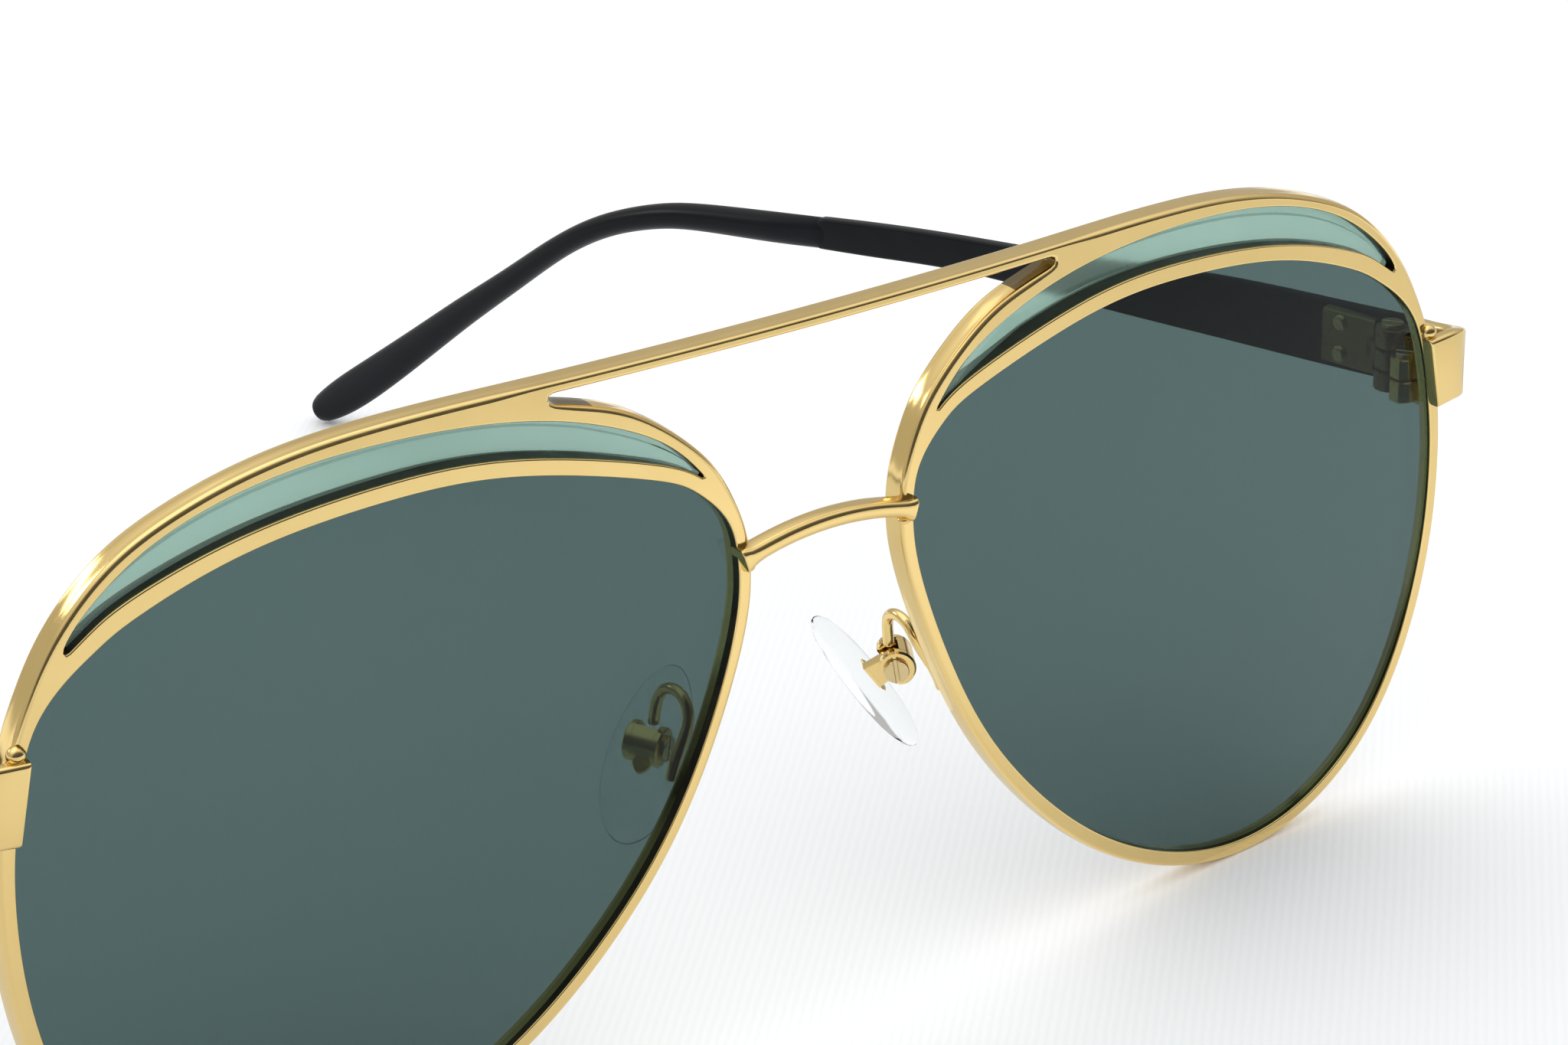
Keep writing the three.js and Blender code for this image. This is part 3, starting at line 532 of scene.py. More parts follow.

# Painted shade seen only in reflections: a sheet clear in the middle and about a quarter dark further out, so
# that gold darkens softly away from the nose.
painted_shade_patch = bpy.data.materials.new("painted_shade_patch")
painted_shade_patch.use_nodes = True
painted_shade_patch.node_tree.nodes.clear()
dim_link = painted_shade_patch.node_tree.links.new
dim_place = add_node(painted_shade_patch, "ShaderNodeTexCoord")
dim_size = add_node(painted_shade_patch, "ShaderNodeMapping", Scale=(6.67, 6.67, 6.67))
dim_ball = add_node(painted_shade_patch, "ShaderNodeTexGradient", gradient_type="SPHERICAL")
dim_ramp = add_node(painted_shade_patch, "ShaderNodeMapRange", **{"From Max": 0.8, "To Min": 0.28, "To Max": 0.0})
dim_clear = add_node(painted_shade_patch, "ShaderNodeBsdfTransparent")
dim_black = add_node(painted_shade_patch, "ShaderNodeEmission", Color=(0.03, 0.03, 0.025, 1))
dim_mix = add_node(painted_shade_patch, "ShaderNodeMixShader")
dim_out = add_node(painted_shade_patch, "ShaderNodeOutputMaterial")
dim_link(dim_place.outputs["Object"], dim_size.inputs["Vector"])
dim_link(dim_size.outputs["Vector"], dim_ball.inputs["Vector"])
dim_link(dim_ball.outputs["Fac"], dim_ramp.inputs["Value"])
dim_link(dim_ramp.outputs["Result"], dim_mix.inputs["Fac"])
dim_link(dim_clear.outputs["BSDF"], dim_mix.inputs[1])
dim_link(dim_black.outputs["Emission"], dim_mix.inputs[2])
dim_link(dim_mix.outputs["Shader"], dim_out.inputs["Surface"])

for name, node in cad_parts.items():
    node.data.materials.clear()
    node.data.materials.append(screw_metal if "screw" in name or "rivet" in name else gold)


# ------------------------------------------------------------------ solids
def merged(*parts):
    """One list of points and faces from several bodies."""
    points, faces, start = [], [], 0
    for part_points, part_faces in parts:
        points.append(part_points)
        faces += [tuple(i + start for i in f) for f in part_faces]
        start += len(part_points)
    return np.vstack(points), faces


def slab(outline, low, high, bevel=0.1):
    """Plate on an outline in its first two coordinates, with broken edges."""
    outline = np.array(outline, float)
    x, y = outline[:, 0], outline[:, 1]
    if np.sum(x * np.roll(y, -1) - np.roll(x, -1) * y) < 0:
        outline = outline[::-1]
    inset = outline - outward(outline) * bevel
    rings = []
    for ring, height in ((inset, low), (outline, low + bevel), (outline, high - bevel), (inset, high)):
        rings.append(np.column_stack([ring, np.full(len(ring), height)]))
    points, faces = skin(rings)
    return points, turned_out(points, faces)


def lathe(profile, count=32):
    """Body of revolution about the third axis; the profile's points are radius and height."""
    rings = []
    for radius, height in profile:
        ring = oval(max(radius, 0.01), max(radius, 0.01), count)
        rings.append(np.column_stack([ring, np.full(count, height)]))
    points, faces = skin(rings)
    return points, turned_out(points, faces)


def drum(radius, low, high, bevel=0.12):
    """Short cylinder with rounded edges."""
    edge = [(radius - bevel, 0), (radius - bevel * 0.3, bevel * 0.3), (radius, bevel)]
    lower = [(r, low + rise) for r, rise in edge]
    upper = [(r, high - rise) for r, rise in edge[::-1]]
    return lathe(lower + upper)


def slotted_head(radius, low, high, slot=0.22, turn=0.6):
    """Screw head with a cut slot."""
    parts = [drum(radius, low, low + (high - low) * 0.45, 0.05)]
    reach = math.acos(slot / 2 / radius)
    for side in (0, math.pi):
        angle = np.linspace(-reach, reach, 15) + side + turn
        half = np.stack([radius * np.cos(angle), radius * np.sin(angle)], axis=1)
        parts.append(slab(half, low + (high - low) * 0.3, high, 0.06))
    return merged(*parts)


def turned(part, *order):
    """A body with its axes reordered, as in turned(part, 2, 0, 1)."""
    points, faces = part
    points = points[:, order]
    return points, turned_out(points, faces)


def moved(part, offset):
    """A body shifted by an offset."""
    return part[0] + np.array(offset, float), part[1]


def blob(centre, sizes):
    """Smooth rounded lump."""
    angles = np.linspace(-math.pi / 2, math.pi / 2, 11)
    points, faces = lathe([(math.cos(a), math.sin(a)) for a in angles], 20)
    return points * sizes + centre, faces


# ------------------------------------------------------------------ fused front
BAR_EDGE_RADIUS, BAND_EDGE_RADIUS = 0.28, 0.45
# The bar's edge radius ends here and eases into that of the bands; it applies above the given height only.
BAR_EDGE_END, BAR_EDGE_EASE, BAR_EDGE_LOW = 27.0, 3.0, 28.3
INNER_EDGE_RADIUS, BACK_EDGE_RADIUS = 0.16, 0.3
OUTER_CROWN = 0.05
# Rings of a wall profile: the first ones round the front edge, the row after them goes down the wall.
EDGE_RINGS = 6
WALL_ROW = EDGE_RINGS - 1
# Places in the front's list of metals: plain gold, painted dark reflection and shade on the walls round the
# lens and crescent glass, and a lighter painted shade for gold that sees little light.
PLAIN, PAINTED_DARK_WALL, PAINTED_SHADE = 0, 1, 2
# The notch between bar and band, whose walls get painted shade, and the lower temporal part of the lens wall,
# which gets that painted shade in place of the darker one.
NOTCH_X, NOTCH_Z = (19.0, 23.2), (27.4, 29.25)
LOWER_TEMPORAL_X, LOWER_TEMPORAL_Z = 34.0, 8.0
# Number of rim samples between the end of a brow band and where the plain rim takes over.
BAND_OVERLAP = 8


def thinned(loop):
    """A closed outline with eased corners and a point about every 0.4 mm."""
    return soften(respace(loop, 0.2, True), 3)[::2]


def front_outline():
    """Outer edge of bar, bands and rims, running anticlockwise seen from the front."""
    rim_outside = rim_outlines(0.2)[1]
    nasal = np.argmin(np.linalg.norm(rim_outside - BROW_INNER_EDGE[-1], axis=1))
    half = np.vstack([
        [(0.0, BAR_BOTTOM), (20.8, BAR_BOTTOM)],
        NOTCH_END,
        smooth_path(BROW_INNER_EDGE, 0.2),
        rim_outside[nasal + BAND_OVERLAP:],
        smooth_path(BROW_TOP_EDGE, 0.2),
        [(0.0, BAR_TOP)],
    ])
    whole = np.vstack([half, flipped(half)[1:-1]])
    return thinned(np.vstack([whole, whole[:1]]))


def crescent_outline():
    """Edge of the right crescent opening, running clockwise seen from the front."""
    lower = rim_outlines(0.2)[1]
    top = smooth_path(CRESCENT_TOP_EDGE, 0.2)
    first = np.argmin(np.linalg.norm(lower - top[0], axis=1))
    last = np.argmin(np.linalg.norm(lower - top[-1], axis=1))
    loop = np.vstack([top[::-1], lower[first:last + 1]])
    return thinned(np.vstack([loop, loop[:1]]))


def edge_radii(loop):
    """Radius of the outer front edge: the bar is too narrow for the one of the bands."""
    near_bar = np.clip((BAR_EDGE_END - np.abs(loop[:, 0])) / BAR_EDGE_EASE, 0, 1)
    near_bar = near_bar * (loop[:, 1] > BAR_EDGE_LOW)
    radii = BAND_EDGE_RADIUS + (BAR_EDGE_RADIUS - BAND_EDGE_RADIUS) * near_bar
    return soften(radii[:, None], 12)[:, 0]


def wall_profile(front_radius, back_radius, crown, depth):
    """Offsets outward, depths and normals across a wall, from the front face round to the back face."""
    rows = []
    for k in range(EDGE_RINGS):
        angle = math.pi / 2 * k / (EDGE_RINGS - 1)
        rows.append((front_radius * (math.sin(angle) - 1), front_radius * (1 - math.cos(angle)),
                     math.sin(angle), -math.cos(angle)))
    middle = (front_radius + depth - back_radius) / 2
    if crown > 0:
        half = (depth - front_radius - back_radius) / 2
        for t in (-0.5, 0.0, 0.5):
            rows.append((crown * (1 - t * t), middle + t * half, 1.0, 2 * crown * t / np.mean(half)))
    for k in range(5):
        angle = math.pi / 2 * k / 4
        rows.append((back_radius * (math.cos(angle) - 1), depth - back_radius * (1 - math.sin(angle)),
                     math.cos(angle), math.sin(angle)))
    return rows


def seated(profile, loop):
    """The profile of an inner wall with one more row, just below the lens surface."""
    seat = (0.0, lens_recess(loop[:, 0]) + 0.05, 1.0, 0.0)
    return profile[:WALL_ROW + 1] + [seat] + profile[WALL_ROW + 1:]


def wall_metal(kind, row, x, z):
    """Which metal a face of an edge has, plain gold or painted shade, from the kind of edge, its row and its
    place on the right half.
    """
    if kind == "outside":
        in_notch = NOTCH_X[0] < x < NOTCH_X[1] and NOTCH_Z[0] < z < NOTCH_Z[1]
        # Painted shade on the walls of the notch.
        return PAINTED_SHADE if row >= WALL_ROW - 1 and in_notch else PLAIN
    if row != WALL_ROW:
        return PLAIN
    # The wall row next to the glass gets painted dark reflection and shade; the lower temporal part of the
    # lens wall gets the lighter painted shade.
    return PAINTED_SHADE if kind == "lens" and x > LOWER_TEMPORAL_X and z < LOWER_TEMPORAL_Z else PAINTED_DARK_WALL


def face_between(points, rings, towards_front):
    """Triangles that fill the first ring of points except inside the other rings."""
    index = [i for ring in rings for i in ring]
    flat = [Vector((points[i][0], points[i][2])) for i in index]
    loops = []
    for ring in rings:
        start = sum(len(loop) for loop in loops)
        loops.append(list(range(start, start + len(ring))))
    edges = [(loop[k], loop[(k + 1) % len(loop)]) for loop in loops for k in range(len(loop))]
    outer_and_holes = [loops[0]] + [loop[::-1] for loop in loops[1:]]
    _, _, triangles, origin, _, inside = geometry.delaunay_2d_cdt(flat, edges, outer_and_holes, 0, 1e-6)
    faces = []
    for triangle, members in zip(triangles, inside):
        if list(members) != [0]:
            continue
        corners = [index[origin[k][0]] for k in triangle]
        a, b, c = (points[k] for k in corners)
        turn = (b[0] - a[0]) * (c[2] - a[2]) - (b[2] - a[2]) * (c[0] - a[0])
        faces.append(tuple(corners if (turn > 0) == towards_front else corners[::-1]))
    return faces


def front_frame():
    """Brow and both rims as one body: the edges of its five outlines and the faces between them."""
    opening = smooth_path(LENS_OPENING, 0.45, True)[::-1, :2]
    crescent = crescent_outline()
    outline = front_outline()
    outer_wall = wall_profile(edge_radii(outline), BACK_EDGE_RADIUS, OUTER_CROWN, FRAME_DEPTH)
    inner_wall = wall_profile(INNER_EDGE_RADIUS, BACK_EDGE_RADIUS, 0, FRAME_DEPTH)
    loops = [
        (outline, outer_wall, "outside"),
        (opening, seated(inner_wall, opening), "lens"),
        (flipped(opening), seated(inner_wall, flipped(opening)), "lens"),
        (crescent, inner_wall, "crescent"),
        (flipped(crescent), inner_wall, "crescent"),
    ]
    points, normals, faces, metals = [], [], [], []
    front_rings, back_rings = [], []
    start = 0
    for loop, profile, kind in loops:
        side = outward(loop)
        size = len(loop)
        for out, depth, normal_out, normal_back in profile:
            flat = loop + side * np.reshape(out, (-1, 1))
            x, z = flat[:, 0], flat[:, 1]
            points.append(np.stack([x, front_depth(x, z) + depth, z], axis=1))
            back = np.stack([-x / FRONT_RADIUS_X, np.ones(size), -z / FRONT_RADIUS_Z], axis=1)
            across = np.stack([side[:, 0], np.zeros(size), side[:, 1]], axis=1)
            normals.append(normal_out * across + normal_back * back)
        for r in range(len(profile) - 1):
            for i in range(size):
                j = (i + 1) % size
                faces.append((start + r * size + i, start + (r + 1) * size + i,
                              start + (r + 1) * size + j, start + r * size + j))
                metals.append(wall_metal(kind, r, abs(loop[i][0]), loop[i][1]))
        front_rings.append(range(start, start + size))
        start += len(profile) * size
        back_rings.append(range(start - size, start))
    points, normals = np.vstack(points), np.vstack(normals)
    faces += face_between(points, front_rings, True)
    faces += face_between(points, back_rings, False)
    metals += [PLAIN] * (len(faces) - len(metals))
    add_piece("front_frame", from_front(points), faces, [gold, lens_wall_painted_dark, gold_painted_shade], "front",
              ("brow_frame", "right_rim", "left_rim"), metals, lean(normals))


front_frame()


# ------------------------------------------------------------------ lenses
def plate_between(outline, centre, shares, thickness):
    """Curved plate: rings from a middle point to the outline on the front, then back on the rear."""
    points, normals = [], []
    for behind, sign, order in ((0, -1, shares), (thickness, 1, shares[::-1])):
        for share in order:
            flat = centre + (outline - centre) * share
            x, z = flat[:, 0], flat[:, 1]
            points.append(np.stack([x, front_depth(x, z) + lens_recess(x) + behind, z], axis=1))
            tilt = LENS_RECESS_DROP / LENS_WIDTH - x / FRONT_RADIUS_X
            back = np.stack([tilt, np.ones(len(x)), -z / FRONT_RADIUS_Z], axis=1)
            normals.append(sign * back)
    rings, faces = skin(points)
    return rings, turned_out(rings, faces), np.vstack(normals)


LENS_SHARES = [0.02, 0.15, 0.3, 0.45, 0.6, 0.75, 0.88, 0.96, 1.0]
CRESCENT_SHARES = [0, 0.15, 0.3, 0.34, 0.5, 0.7, 0.85, 1]
for side, sign in SIDES:
    outline = smooth_path(LENS_OPENING, 1.4, True)[:, :2]
    outline = outline + outward(outline) * LENS_IN_RIM
    points, faces, normals = plate_between(outline, LENS_CENTRE, LENS_SHARES, LENS_THICKNESS)
    add_piece(f"{side}_lens_glass", from_front(points), faces, [lens_glass], "front", (f"{side}_lens",),
              normals=lean(normals), mirror=sign < 0)

    inside, outside = rim_outlines(0.2)
    lower = outside - outward(inside) * CRESCENT_IN_RIM
    rings = []
    for edge in smooth_path(CRESCENT_TOP_EDGE, 0.6)[1:-1]:
        low = lower[np.argmin(np.linalg.norm(lower - edge, axis=1))]
        high = edge + (edge - low) * CRESCENT_IN_RIM / np.linalg.norm(low - edge)
        ring = []
        for behind, shares in ((0.0, CRESCENT_SHARES), (CRESCENT_THICKNESS, CRESCENT_SHARES[::-1])):
            for share in shares:
                x, z = high + (low - high) * share
                step = CRESCENT_STEP if behind == 0.0 and share < CRESCENT_STEP_END else 0.0
                ring.append((x, front_depth(x, z) + crescent_recess(x) + behind + step, z))
        rings.append(np.array(ring))
    points, faces = skin(rings)
    add_piece(f"{side}_crescent_glass", from_front(points), turned_out(points, faces), [mint_glass], "front",
              (f"{side}_crescent_lens",), mirror=sign < 0)


# ------------------------------------------------------------------ bridge and end pieces
def axes_along(path, up=(0, 0, 1)):
    """Two axes at each station of a path: one across it and square to up, and one square to both."""
    result = []
    for tangent in np.gradient(path, axis=0):
        tangent = tangent / np.linalg.norm(tangent)
        across = np.cross(tangent, up)
        across /= np.linalg.norm(across)
        result.append((across, np.cross(across, tangent)))
    return result


bridge_x = np.linspace(BRIDGE_LEFT, BRIDGE_RIGHT, 41)
bridge_z = BRIDGE_RISE - BRIDGE_FALL * (bridge_x / BRIDGE_SPAN) ** 2
bridge_path = np.stack([bridge_x, front_depth(bridge_x, bridge_z) - 0.05, bridge_z], axis=1)
bridge_sections = []
for x, (across, up) in zip(bridge_x, axes_along(bridge_path)):
    flare = BRIDGE_FLARE * min(1.0, abs(x / BRIDGE_FLARE_X)) ** BRIDGE_FLARE_POWER
    half_height = BRIDGE_HALF_HEIGHT + flare
    bridge_sections.append((across, up, rounded_section(BRIDGE_HALF_DEPTH, half_height, BRIDGE_EDGE)))
bridge_body = rounded_tube(bridge_path, bridge_sections, 0.12)
solder = [blob((x, front_depth(x, z) + 0.1, z), SOLDER_SIZE) for x, z in SOLDER_SPOTS]
points, faces = merged(bridge_body, *solder)
add_piece("bridge_bar", from_front(points), faces, [gold], "front", ("bridge",), sharp=50)


def end_plate():
    """Strip whose inner end follows the lens opening, then turns back along the head."""
    path = smooth_path(END_PIECE_PATH, 0.1)
    along = np.arange(len(path)) * 0.1
    tangents = np.gradient(path[:, :2], axis=0)
    tangents /= np.linalg.norm(tangents, axis=1)[:, None]
    edge = rim_outlines(0.2)[0]
    edge = edge[(edge[:, 0] > 60) & (edge[:, 1] > 3) & (edge[:, 1] < 14)]
    edge = edge[np.argsort(edge[:, 1])]
    front = path[:, 0] < 68
    half_across, half_up_front, half_up_back = END_PIECE_HALF
    rings = []
    shares = np.concatenate([[0, 0.004, 0.012], np.linspace(0.03, 0.97, 40), [0.988, 0.996, 1.0]])
    for share in shares:
        inset = END_PIECE_BEVEL * max(0, 1 - min(share, 1 - share) / 0.012) ** 2
        ring = []
        half_up = half_up_front + (half_up_back - half_up_front) * share
        for across, up in rounded_section(half_across - inset, half_up - inset, END_PIECE_CORNER):
            edge_x = np.interp(path[0, 2] + up, edge[:, 1], edge[:, 0])
            begin = np.interp(edge_x, path[front, 0], along[front])
            place = begin + (along[-1] - begin) * share
            x, y, z = (np.interp(place, along, path[:, k]) for k in range(3))
            tx, ty = (np.interp(place, along, tangents[:, k]) for k in range(2))
            ring.append((x + across * ty, y - across * tx, z + up))
        rings.append(np.array(ring))
    points, faces = skin(rings)
    return points, turned_out(points, faces)


LOCK_OUTLINE = [
    (65.4, 7.5), (66.35, 7.5), (66.5, 9.0), (66.5, 10.3), (66.1, 10.7), (64.6, 10.7), (64.2, 10.3),
    (64.2, 9.2), (64.6, 8.9), (65.4, 8.7),
]
LOCK_LOW, LOCK_SPLIT, LOCK_TOP = 4.65, 6.6, 8.55
for side, sign in SIDES:
    points, faces = end_plate()
    add_piece(f"{side}_end_plate", from_front(points), faces, [gold], "front", (f"{side}_end_piece",),
              sharp=50, mirror=sign < 0)
    for name, low, high in (("lower", LOCK_LOW, LOCK_SPLIT - 0.08), ("upper", LOCK_SPLIT + 0.08, LOCK_TOP)):
        points, faces = slab(LOCK_OUTLINE, low, high, 0.12)
        add_piece(f"{side}_lock_{name}", from_front(points), faces, [gold], "front",
                  (f"{side}_rim_lock_{name}",), mirror=sign < 0)
    points, faces = moved(slotted_head(0.8, LOCK_TOP - 0.05, LOCK_TOP + 0.4), (65.35, 9.8, 0))
    add_piece(f"{side}_lock_screw", from_front(points), faces, [screw_metal], "front",
              (f"{side}_rim_lock_screw",), mirror=sign < 0)
    x, z = BEAD
    points, faces = blob((x, front_depth(x, z) - 0.1, z), BEAD_SIZE)
    add_piece(f"{side}_bead", from_front(points), faces, [gold], "front", (f"{side}_solder_bead",),
              sharp=80, mirror=sign < 0)

# ------------------------------------------------------------------ hinges
KNUCKLE_RADIUS, KNUCKLE_HALF, KNUCKLE_STEP = 1.4, 0.85, 1.9
FRONT_LEAF = [(1.15, -4.3), (2.15, -4.3), (2.15, -1.8), (1.15, -1.8)]
FRONT_LUG = [(1.3, -3.0), (1.9, -3.0), (1.8, -1.9), (1.3, -0.5), (0.4, 0.9), (-0.3, -0.9)]
TEMPLE_LEAF = [(0.65, 2.2), (1.72, 2.2), (1.72, 7.4), (0.65, 7.4)]
TEMPLE_LUG = [(-0.9, 0), (0.9, 0), (1.2, 2.6), (0.7, 3.0), (-0.2, 1.6)]
RIVET_DOME = [(0.75, 0), (0.73, 0.12), (0.6, 0.26), (0.35, 0.34), (0, 0.36)]
for side, sign in SIDES:
    parts = [slab(FRONT_LEAF, -2.6, 2.6, 0.15)]
    for middle in (-KNUCKLE_STEP, KNUCKLE_STEP):
        parts.append(slab(FRONT_LUG, middle - KNUCKLE_HALF, middle + KNUCKLE_HALF, 0.1))
        parts.append(drum(KNUCKLE_RADIUS, middle - KNUCKLE_HALF, middle + KNUCKLE_HALF))
    points, faces = merged(*parts)
    add_piece(f"{side}_hinge_front", from_hinge(points), faces, [hinge_painted_shade], "front",
              (f"{side}_front_hinge",), mirror=sign < 0)
    top = KNUCKLE_STEP + KNUCKLE_HALF
    points, faces = merged(slotted_head(0.95, top - 0.05, top + 0.4), drum(0.5, -top - 0.25, -top + 0.1, 0.1))
    add_piece(f"{side}_hinge_pin", from_hinge(points), faces, [screw_metal], "front",
              (f"{side}_hinge_screw",), mirror=sign < 0)

    points, faces = merged(
        slab(TEMPLE_LEAF, -2.4, 2.4, 0.15), slab(TEMPLE_LUG, -KNUCKLE_HALF, KNUCKLE_HALF, 0.1),
        drum(KNUCKLE_RADIUS, -KNUCKLE_HALF, KNUCKLE_HALF))
    add_piece(f"{side}_hinge_temple", from_temple_hinge(points), faces, [hinge_painted_shade], f"{side}_temple",
              (f"{side}_temple_hinge",), mirror=sign < 0)
    for name, up in (("upper", 1.4), ("lower", -1.4)):
        points, faces = turned(lathe(RIVET_DOME, 24), 2, 0, 1)
        points = points * [-1, 1, 1] + [0.68, 5.6, up]
        faces = turned_out(points, faces)
        add_piece(f"{side}_{name}_rivet_head", from_temple_hinge(points), faces, [screw_metal],
                  f"{side}_temple", (f"{side}_rivet_{name}",), mirror=sign < 0)

# ------------------------------------------------------------------ temples
for side, sign in SIDES:
    edges = smooth_path(ARM_EDGES, 1.0)
    path = np.stack([np.full(len(edges), TEMPLE_PLANE), edges[:, 0], (edges[:, 1] + edges[:, 2]) / 2], axis=1)
    sections = [(np.array([1.0, 0, 0]), np.array([0, 0, 1.0]),
                 rounded_section(ARM_THICKNESS / 2, (top - low) / 2, 0.35)) for _, top, low in edges]
    points, faces = rounded_tube(path, sections, 0.3)
    add_piece(f"{side}_arm_blade", from_temple(points), faces, [enamel], f"{side}_temple",
              (f"{side}_temple_arm",), sharp=50, mirror=sign < 0)

    tip = smooth_path(TIP_PATH, 0.8)
    path = np.stack([np.full(len(tip), TEMPLE_PLANE), tip[:, 0], tip[:, 1]], axis=1)
    sections = []
    for k, tangent in enumerate(np.gradient(path, axis=0)):
        tangent /= np.linalg.norm(tangent)
        up = np.array([0, -tangent[2], tangent[1]])
        grown = np.clip((tip[k, 0] - tip[0, 0]) / (SLEEVE_FULL - tip[0, 0]), 0, 1)
        thin = ARM_THICKNESS / 2 + SLEEVE_CLEARANCE
        half = thin + (TIP_HALF_THICKNESS - thin) * grown**0.7
        sections.append((np.array([1.0, 0, 0]), up, oval(half, tip[k, 2])))
    points, faces = rounded_tube(path, sections, 0.5)
    add_piece(f"{side}_tip_sleeve", from_temple(points), faces, [acetate], f"{side}_temple",
              (f"{side}_temple_tip",), sharp=60, mirror=sign < 0)

# ------------------------------------------------------------------ nose pads and their arms
CHEEK_RADIUS = 1.6
cheek_angles = np.linspace(math.pi, 2 * math.pi, 17)
CHEEK = [(CHEEK_RADIUS * math.cos(a), CHEEK_RADIUS * math.sin(a)) for a in cheek_angles]
CHEEK += [(1.4, 0.5), (1.0, 0.8), (-1.0, 0.8), (-1.4, 0.5)]
LUG = [(0.95 * math.cos(a), 0.85 * math.sin(a)) for a in cheek_angles] + [(1.1, 2.3), (-1.1, 2.3)]
for side, sign in SIDES:
    path = smooth_path(PAD_ARM_PATH, 0.2)
    wire = oval(WIRE_RADIUS, WIRE_RADIUS, 20)
    sections = [(*axes, wire) for axes in axes_along(path, up=(1.0, 0.1, 0.1))]
    points, faces = rounded_tube(path, sections, 0.2)
    add_piece(f"{side}_pad_wire", from_front(points), faces, [gold], "front", (f"{side}_pad_arm",),
              sharp=60, mirror=sign < 0)

    wall = [(x, y) for x, y in CHEEK if y < -0.9]
    points, faces = merged(
        turned(slab(CHEEK, 0.8, 1.5, 0.15), 2, 0, 1), turned(slab(CHEEK, -1.5, -0.8, 0.15), 2, 0, 1),
        turned(slab(wall, -1.0, 1.0, 0.08), 2, 0, 1))
    add_piece(f"{side}_pad_cup", from_pad(points), faces, [gold], "front", (f"{side}_pad_box",),
              mirror=sign < 0)
    parts = [turned(slotted_head(1.0, 1.42, 1.85, 0.28, 1.1), 2, 0, 1)]
    end = turned(drum(0.7, 1.45, 1.75, 0.1), 2, 0, 1)
    parts.append((end[0] * [-1, 1, 1], turned_out(end[0] * [-1, 1, 1], end[1])))
    points, faces = merged(*parts)
    add_piece(f"{side}_pad_pin", from_pad(points), faces, [screw_metal], "front", (f"{side}_pad_screw",),
              mirror=sign < 0)

    across, along, out = PAD_CENTRE
    leaf = oval(0.95, 1.7, 32) + [across, along]
    points, faces = merged(turned(slab(LUG, -0.5, 0.5, 0.1), 2, 0, 1), slab(leaf, out - 1.0, out - 0.7, 0.1))
    add_piece(f"{side}_pad_plate", from_pad(points), faces, [gold], f"{side}_pad", (f"{side}_pad_insert",),
              mirror=sign < 0)

    rings = []
    for share, height in PAD_PROFILE:
        ring = oval(PAD_HALF[0] * share, PAD_HALF[1] * share, 48)
        ring[:, 0] *= 1 - PAD_TAPER * ring[:, 1] / PAD_HALF[1]
        heights = np.full(len(ring), out + height)
        rings.append(np.column_stack([ring[:, 0] + across, ring[:, 1] + along, heights]))
    points, faces = skin(rings)
    add_piece(f"{side}_pad_cushion", from_pad(points), turned_out(points, faces), [silicone], f"{side}_pad",
              (f"{side}_nose_pad",), sharp=60, mirror=sign < 0)

# ------------------------------------------------------------------ floor and light
REACH = 4.0
floor_mesh = bpy.data.meshes.new("floor")
floor_mesh.from_pydata([(-REACH, -REACH, 0), (REACH, -REACH, 0), (REACH, REACH, 0), (-REACH, REACH, 0)],
                       [], [(0, 1, 2, 3)])
floor = bpy.data.objects.new("floor", floor_mesh)
bpy.context.scene.collection.objects.link(floor)
floor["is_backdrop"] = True
floor_mesh.materials.append(cloth)


def area_light(name, place, target, size, power):
    """White rectangular light that faces its target."""
    data = bpy.data.lights.new(name, "AREA")
    data.shape = "RECTANGLE"
    data.size, data.size_y = size
    data.energy = power
    light = bpy.data.objects.new(name, data)
    light.location = place
    light.rotation_euler = (Vector(target) - Vector(place)).to_track_quat("-Z", "Y").to_euler()
    bpy.context.scene.collection.objects.link(light)


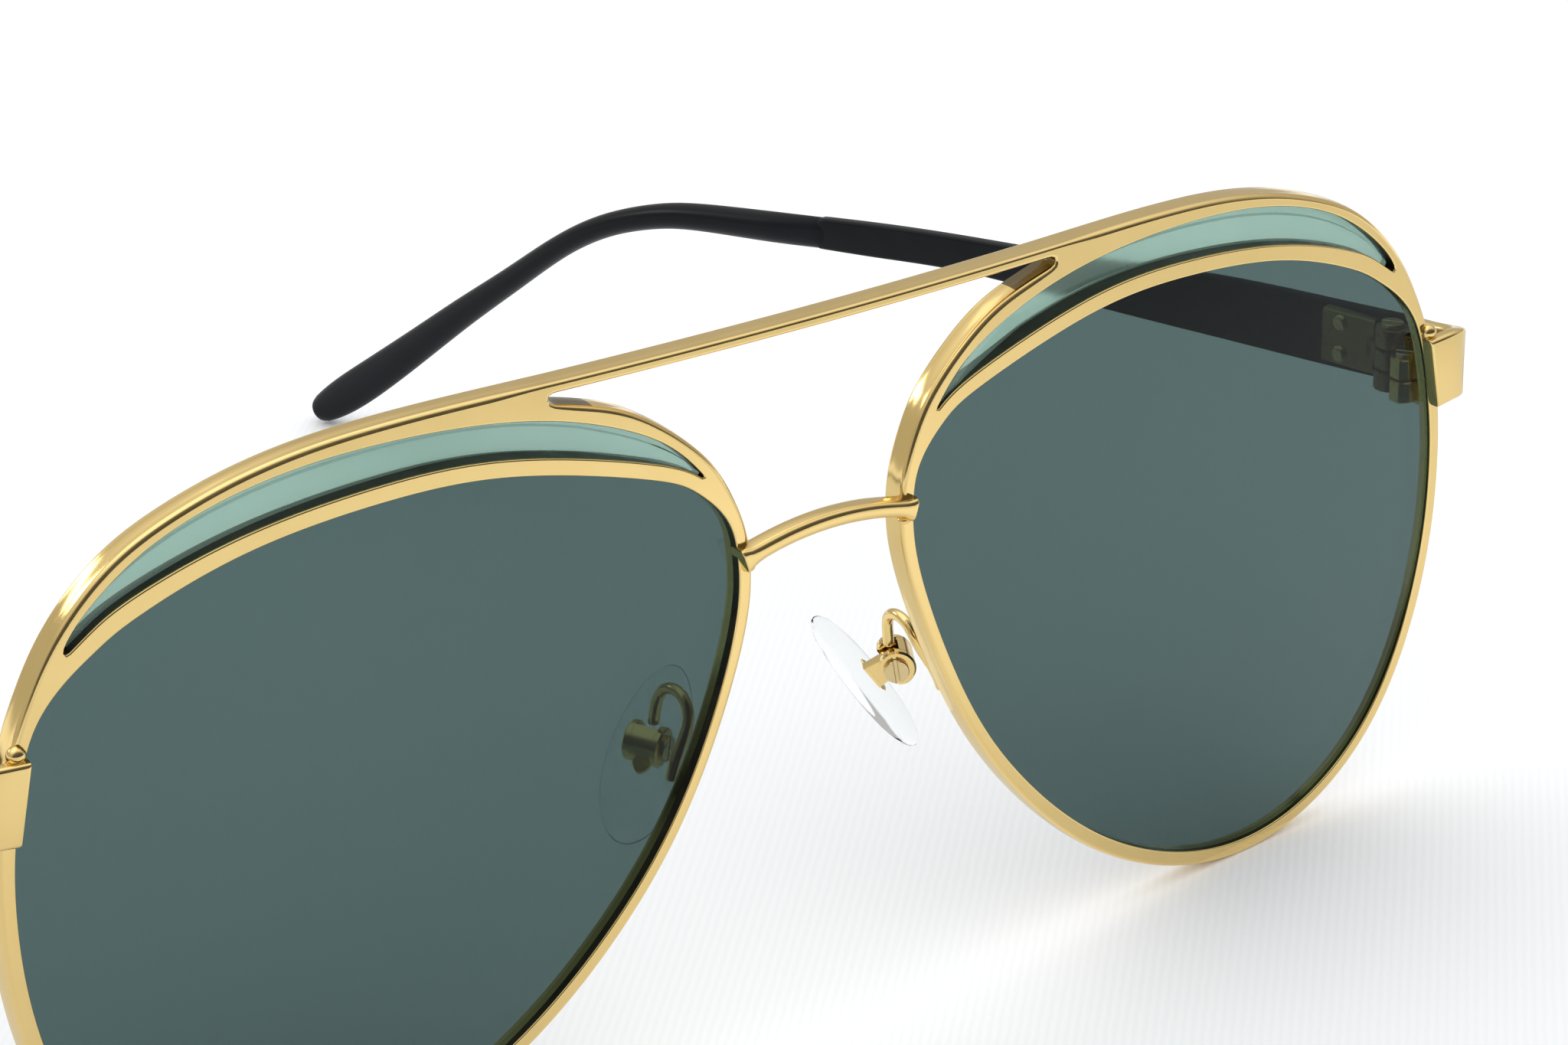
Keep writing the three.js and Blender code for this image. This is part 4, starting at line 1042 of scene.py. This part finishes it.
def card(name, place, target, size, material):
    """Flat card that only shows in reflections."""
    x, y = size[0] / 2, size[1] / 2
    mesh = bpy.data.meshes.new(name)
    mesh.from_pydata([(-x, -y, 0), (x, -y, 0), (x, y, 0), (-x, y, 0)], [], [(0, 1, 2, 3)])
    mesh.materials.append(material)
    obj = bpy.data.objects.new(name, mesh)
    obj.location = place
    obj.rotation_euler = (Vector(target) - Vector(place)).to_track_quat("Z", "Y").to_euler()
    bpy.context.scene.collection.objects.link(obj)
    obj.visible_camera = False
    obj.visible_diffuse = False
    obj.visible_transmission = False
    obj.visible_shadow = False
    obj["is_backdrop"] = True


area_light("overhead_softbox", (-0.2, 0.3, 1.4), (0, 0, 0), (1.6, 1.2), 2.5)
card("window", (-0.43, 0.73, 0.50), (0, -0.06, 0.04), (0.30, 0.13), window_glow)
card("painted_shade_surround", (0.045, -0.15, 0.001), (0.045, -0.15, 1.0), (0.7, 0.7), painted_shade_patch)

world = bpy.data.worlds.new("studio")
bpy.context.scene.world = world
world.use_nodes = True
tree = world.node_tree
even = tree.nodes["Background"]
even.inputs["Color"].default_value = (1, 1, 1, 1)
even.inputs["Strength"].default_value = 1.13
# Reflections see a room that is bright overhead and dimmer lower down; all other rays see an even white.
direction = add_node(world, "ShaderNodeTexCoord")
split = add_node(world, "ShaderNodeSeparateXYZ")
shaped = add_node(world, "ShaderNodeBackground")
ramp = add_node(world, "ShaderNodeValToRGB")
ramp.color_ramp.elements[0].position = 0.0
ramp.color_ramp.elements[0].color = (0.50, 0.49, 0.47, 1)
ramp.color_ramp.elements[1].position = 0.8
ramp.color_ramp.elements[1].color = (1, 1, 1, 1)
middle = ramp.color_ramp.elements.new(0.45)
middle.color = (0.52, 0.51, 0.49, 1)
# The room in front of the glasses is dark, which draws a dark line along the upper edges of the gold.
darker = {"From Min": -0.6, "From Max": -0.25, "To Min": 0.15, "To Max": 1.0}
facing = add_node(world, "ShaderNodeMapRange", **darker)
rays = add_node(world, "ShaderNodeLightPath")
mixed = add_node(world, "ShaderNodeMixShader")
tree.links.new(direction.outputs["Generated"], split.inputs["Vector"])
tree.links.new(split.outputs["Y"], facing.inputs["Value"])
tree.links.new(facing.outputs["Result"], shaped.inputs["Strength"])
tree.links.new(split.outputs["Z"], ramp.inputs["Fac"])
tree.links.new(ramp.outputs["Color"], shaped.inputs["Color"])
tree.links.new(rays.outputs["Is Glossy Ray"], mixed.inputs["Fac"])
tree.links.new(even.outputs["Background"], mixed.inputs[1])
tree.links.new(shaped.outputs["Background"], mixed.inputs[2])
tree.links.new(mixed.outputs["Shader"], tree.nodes["World Output"].inputs["Surface"])
bpy.context.scene.view_settings.view_transform = "Standard"

low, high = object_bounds()
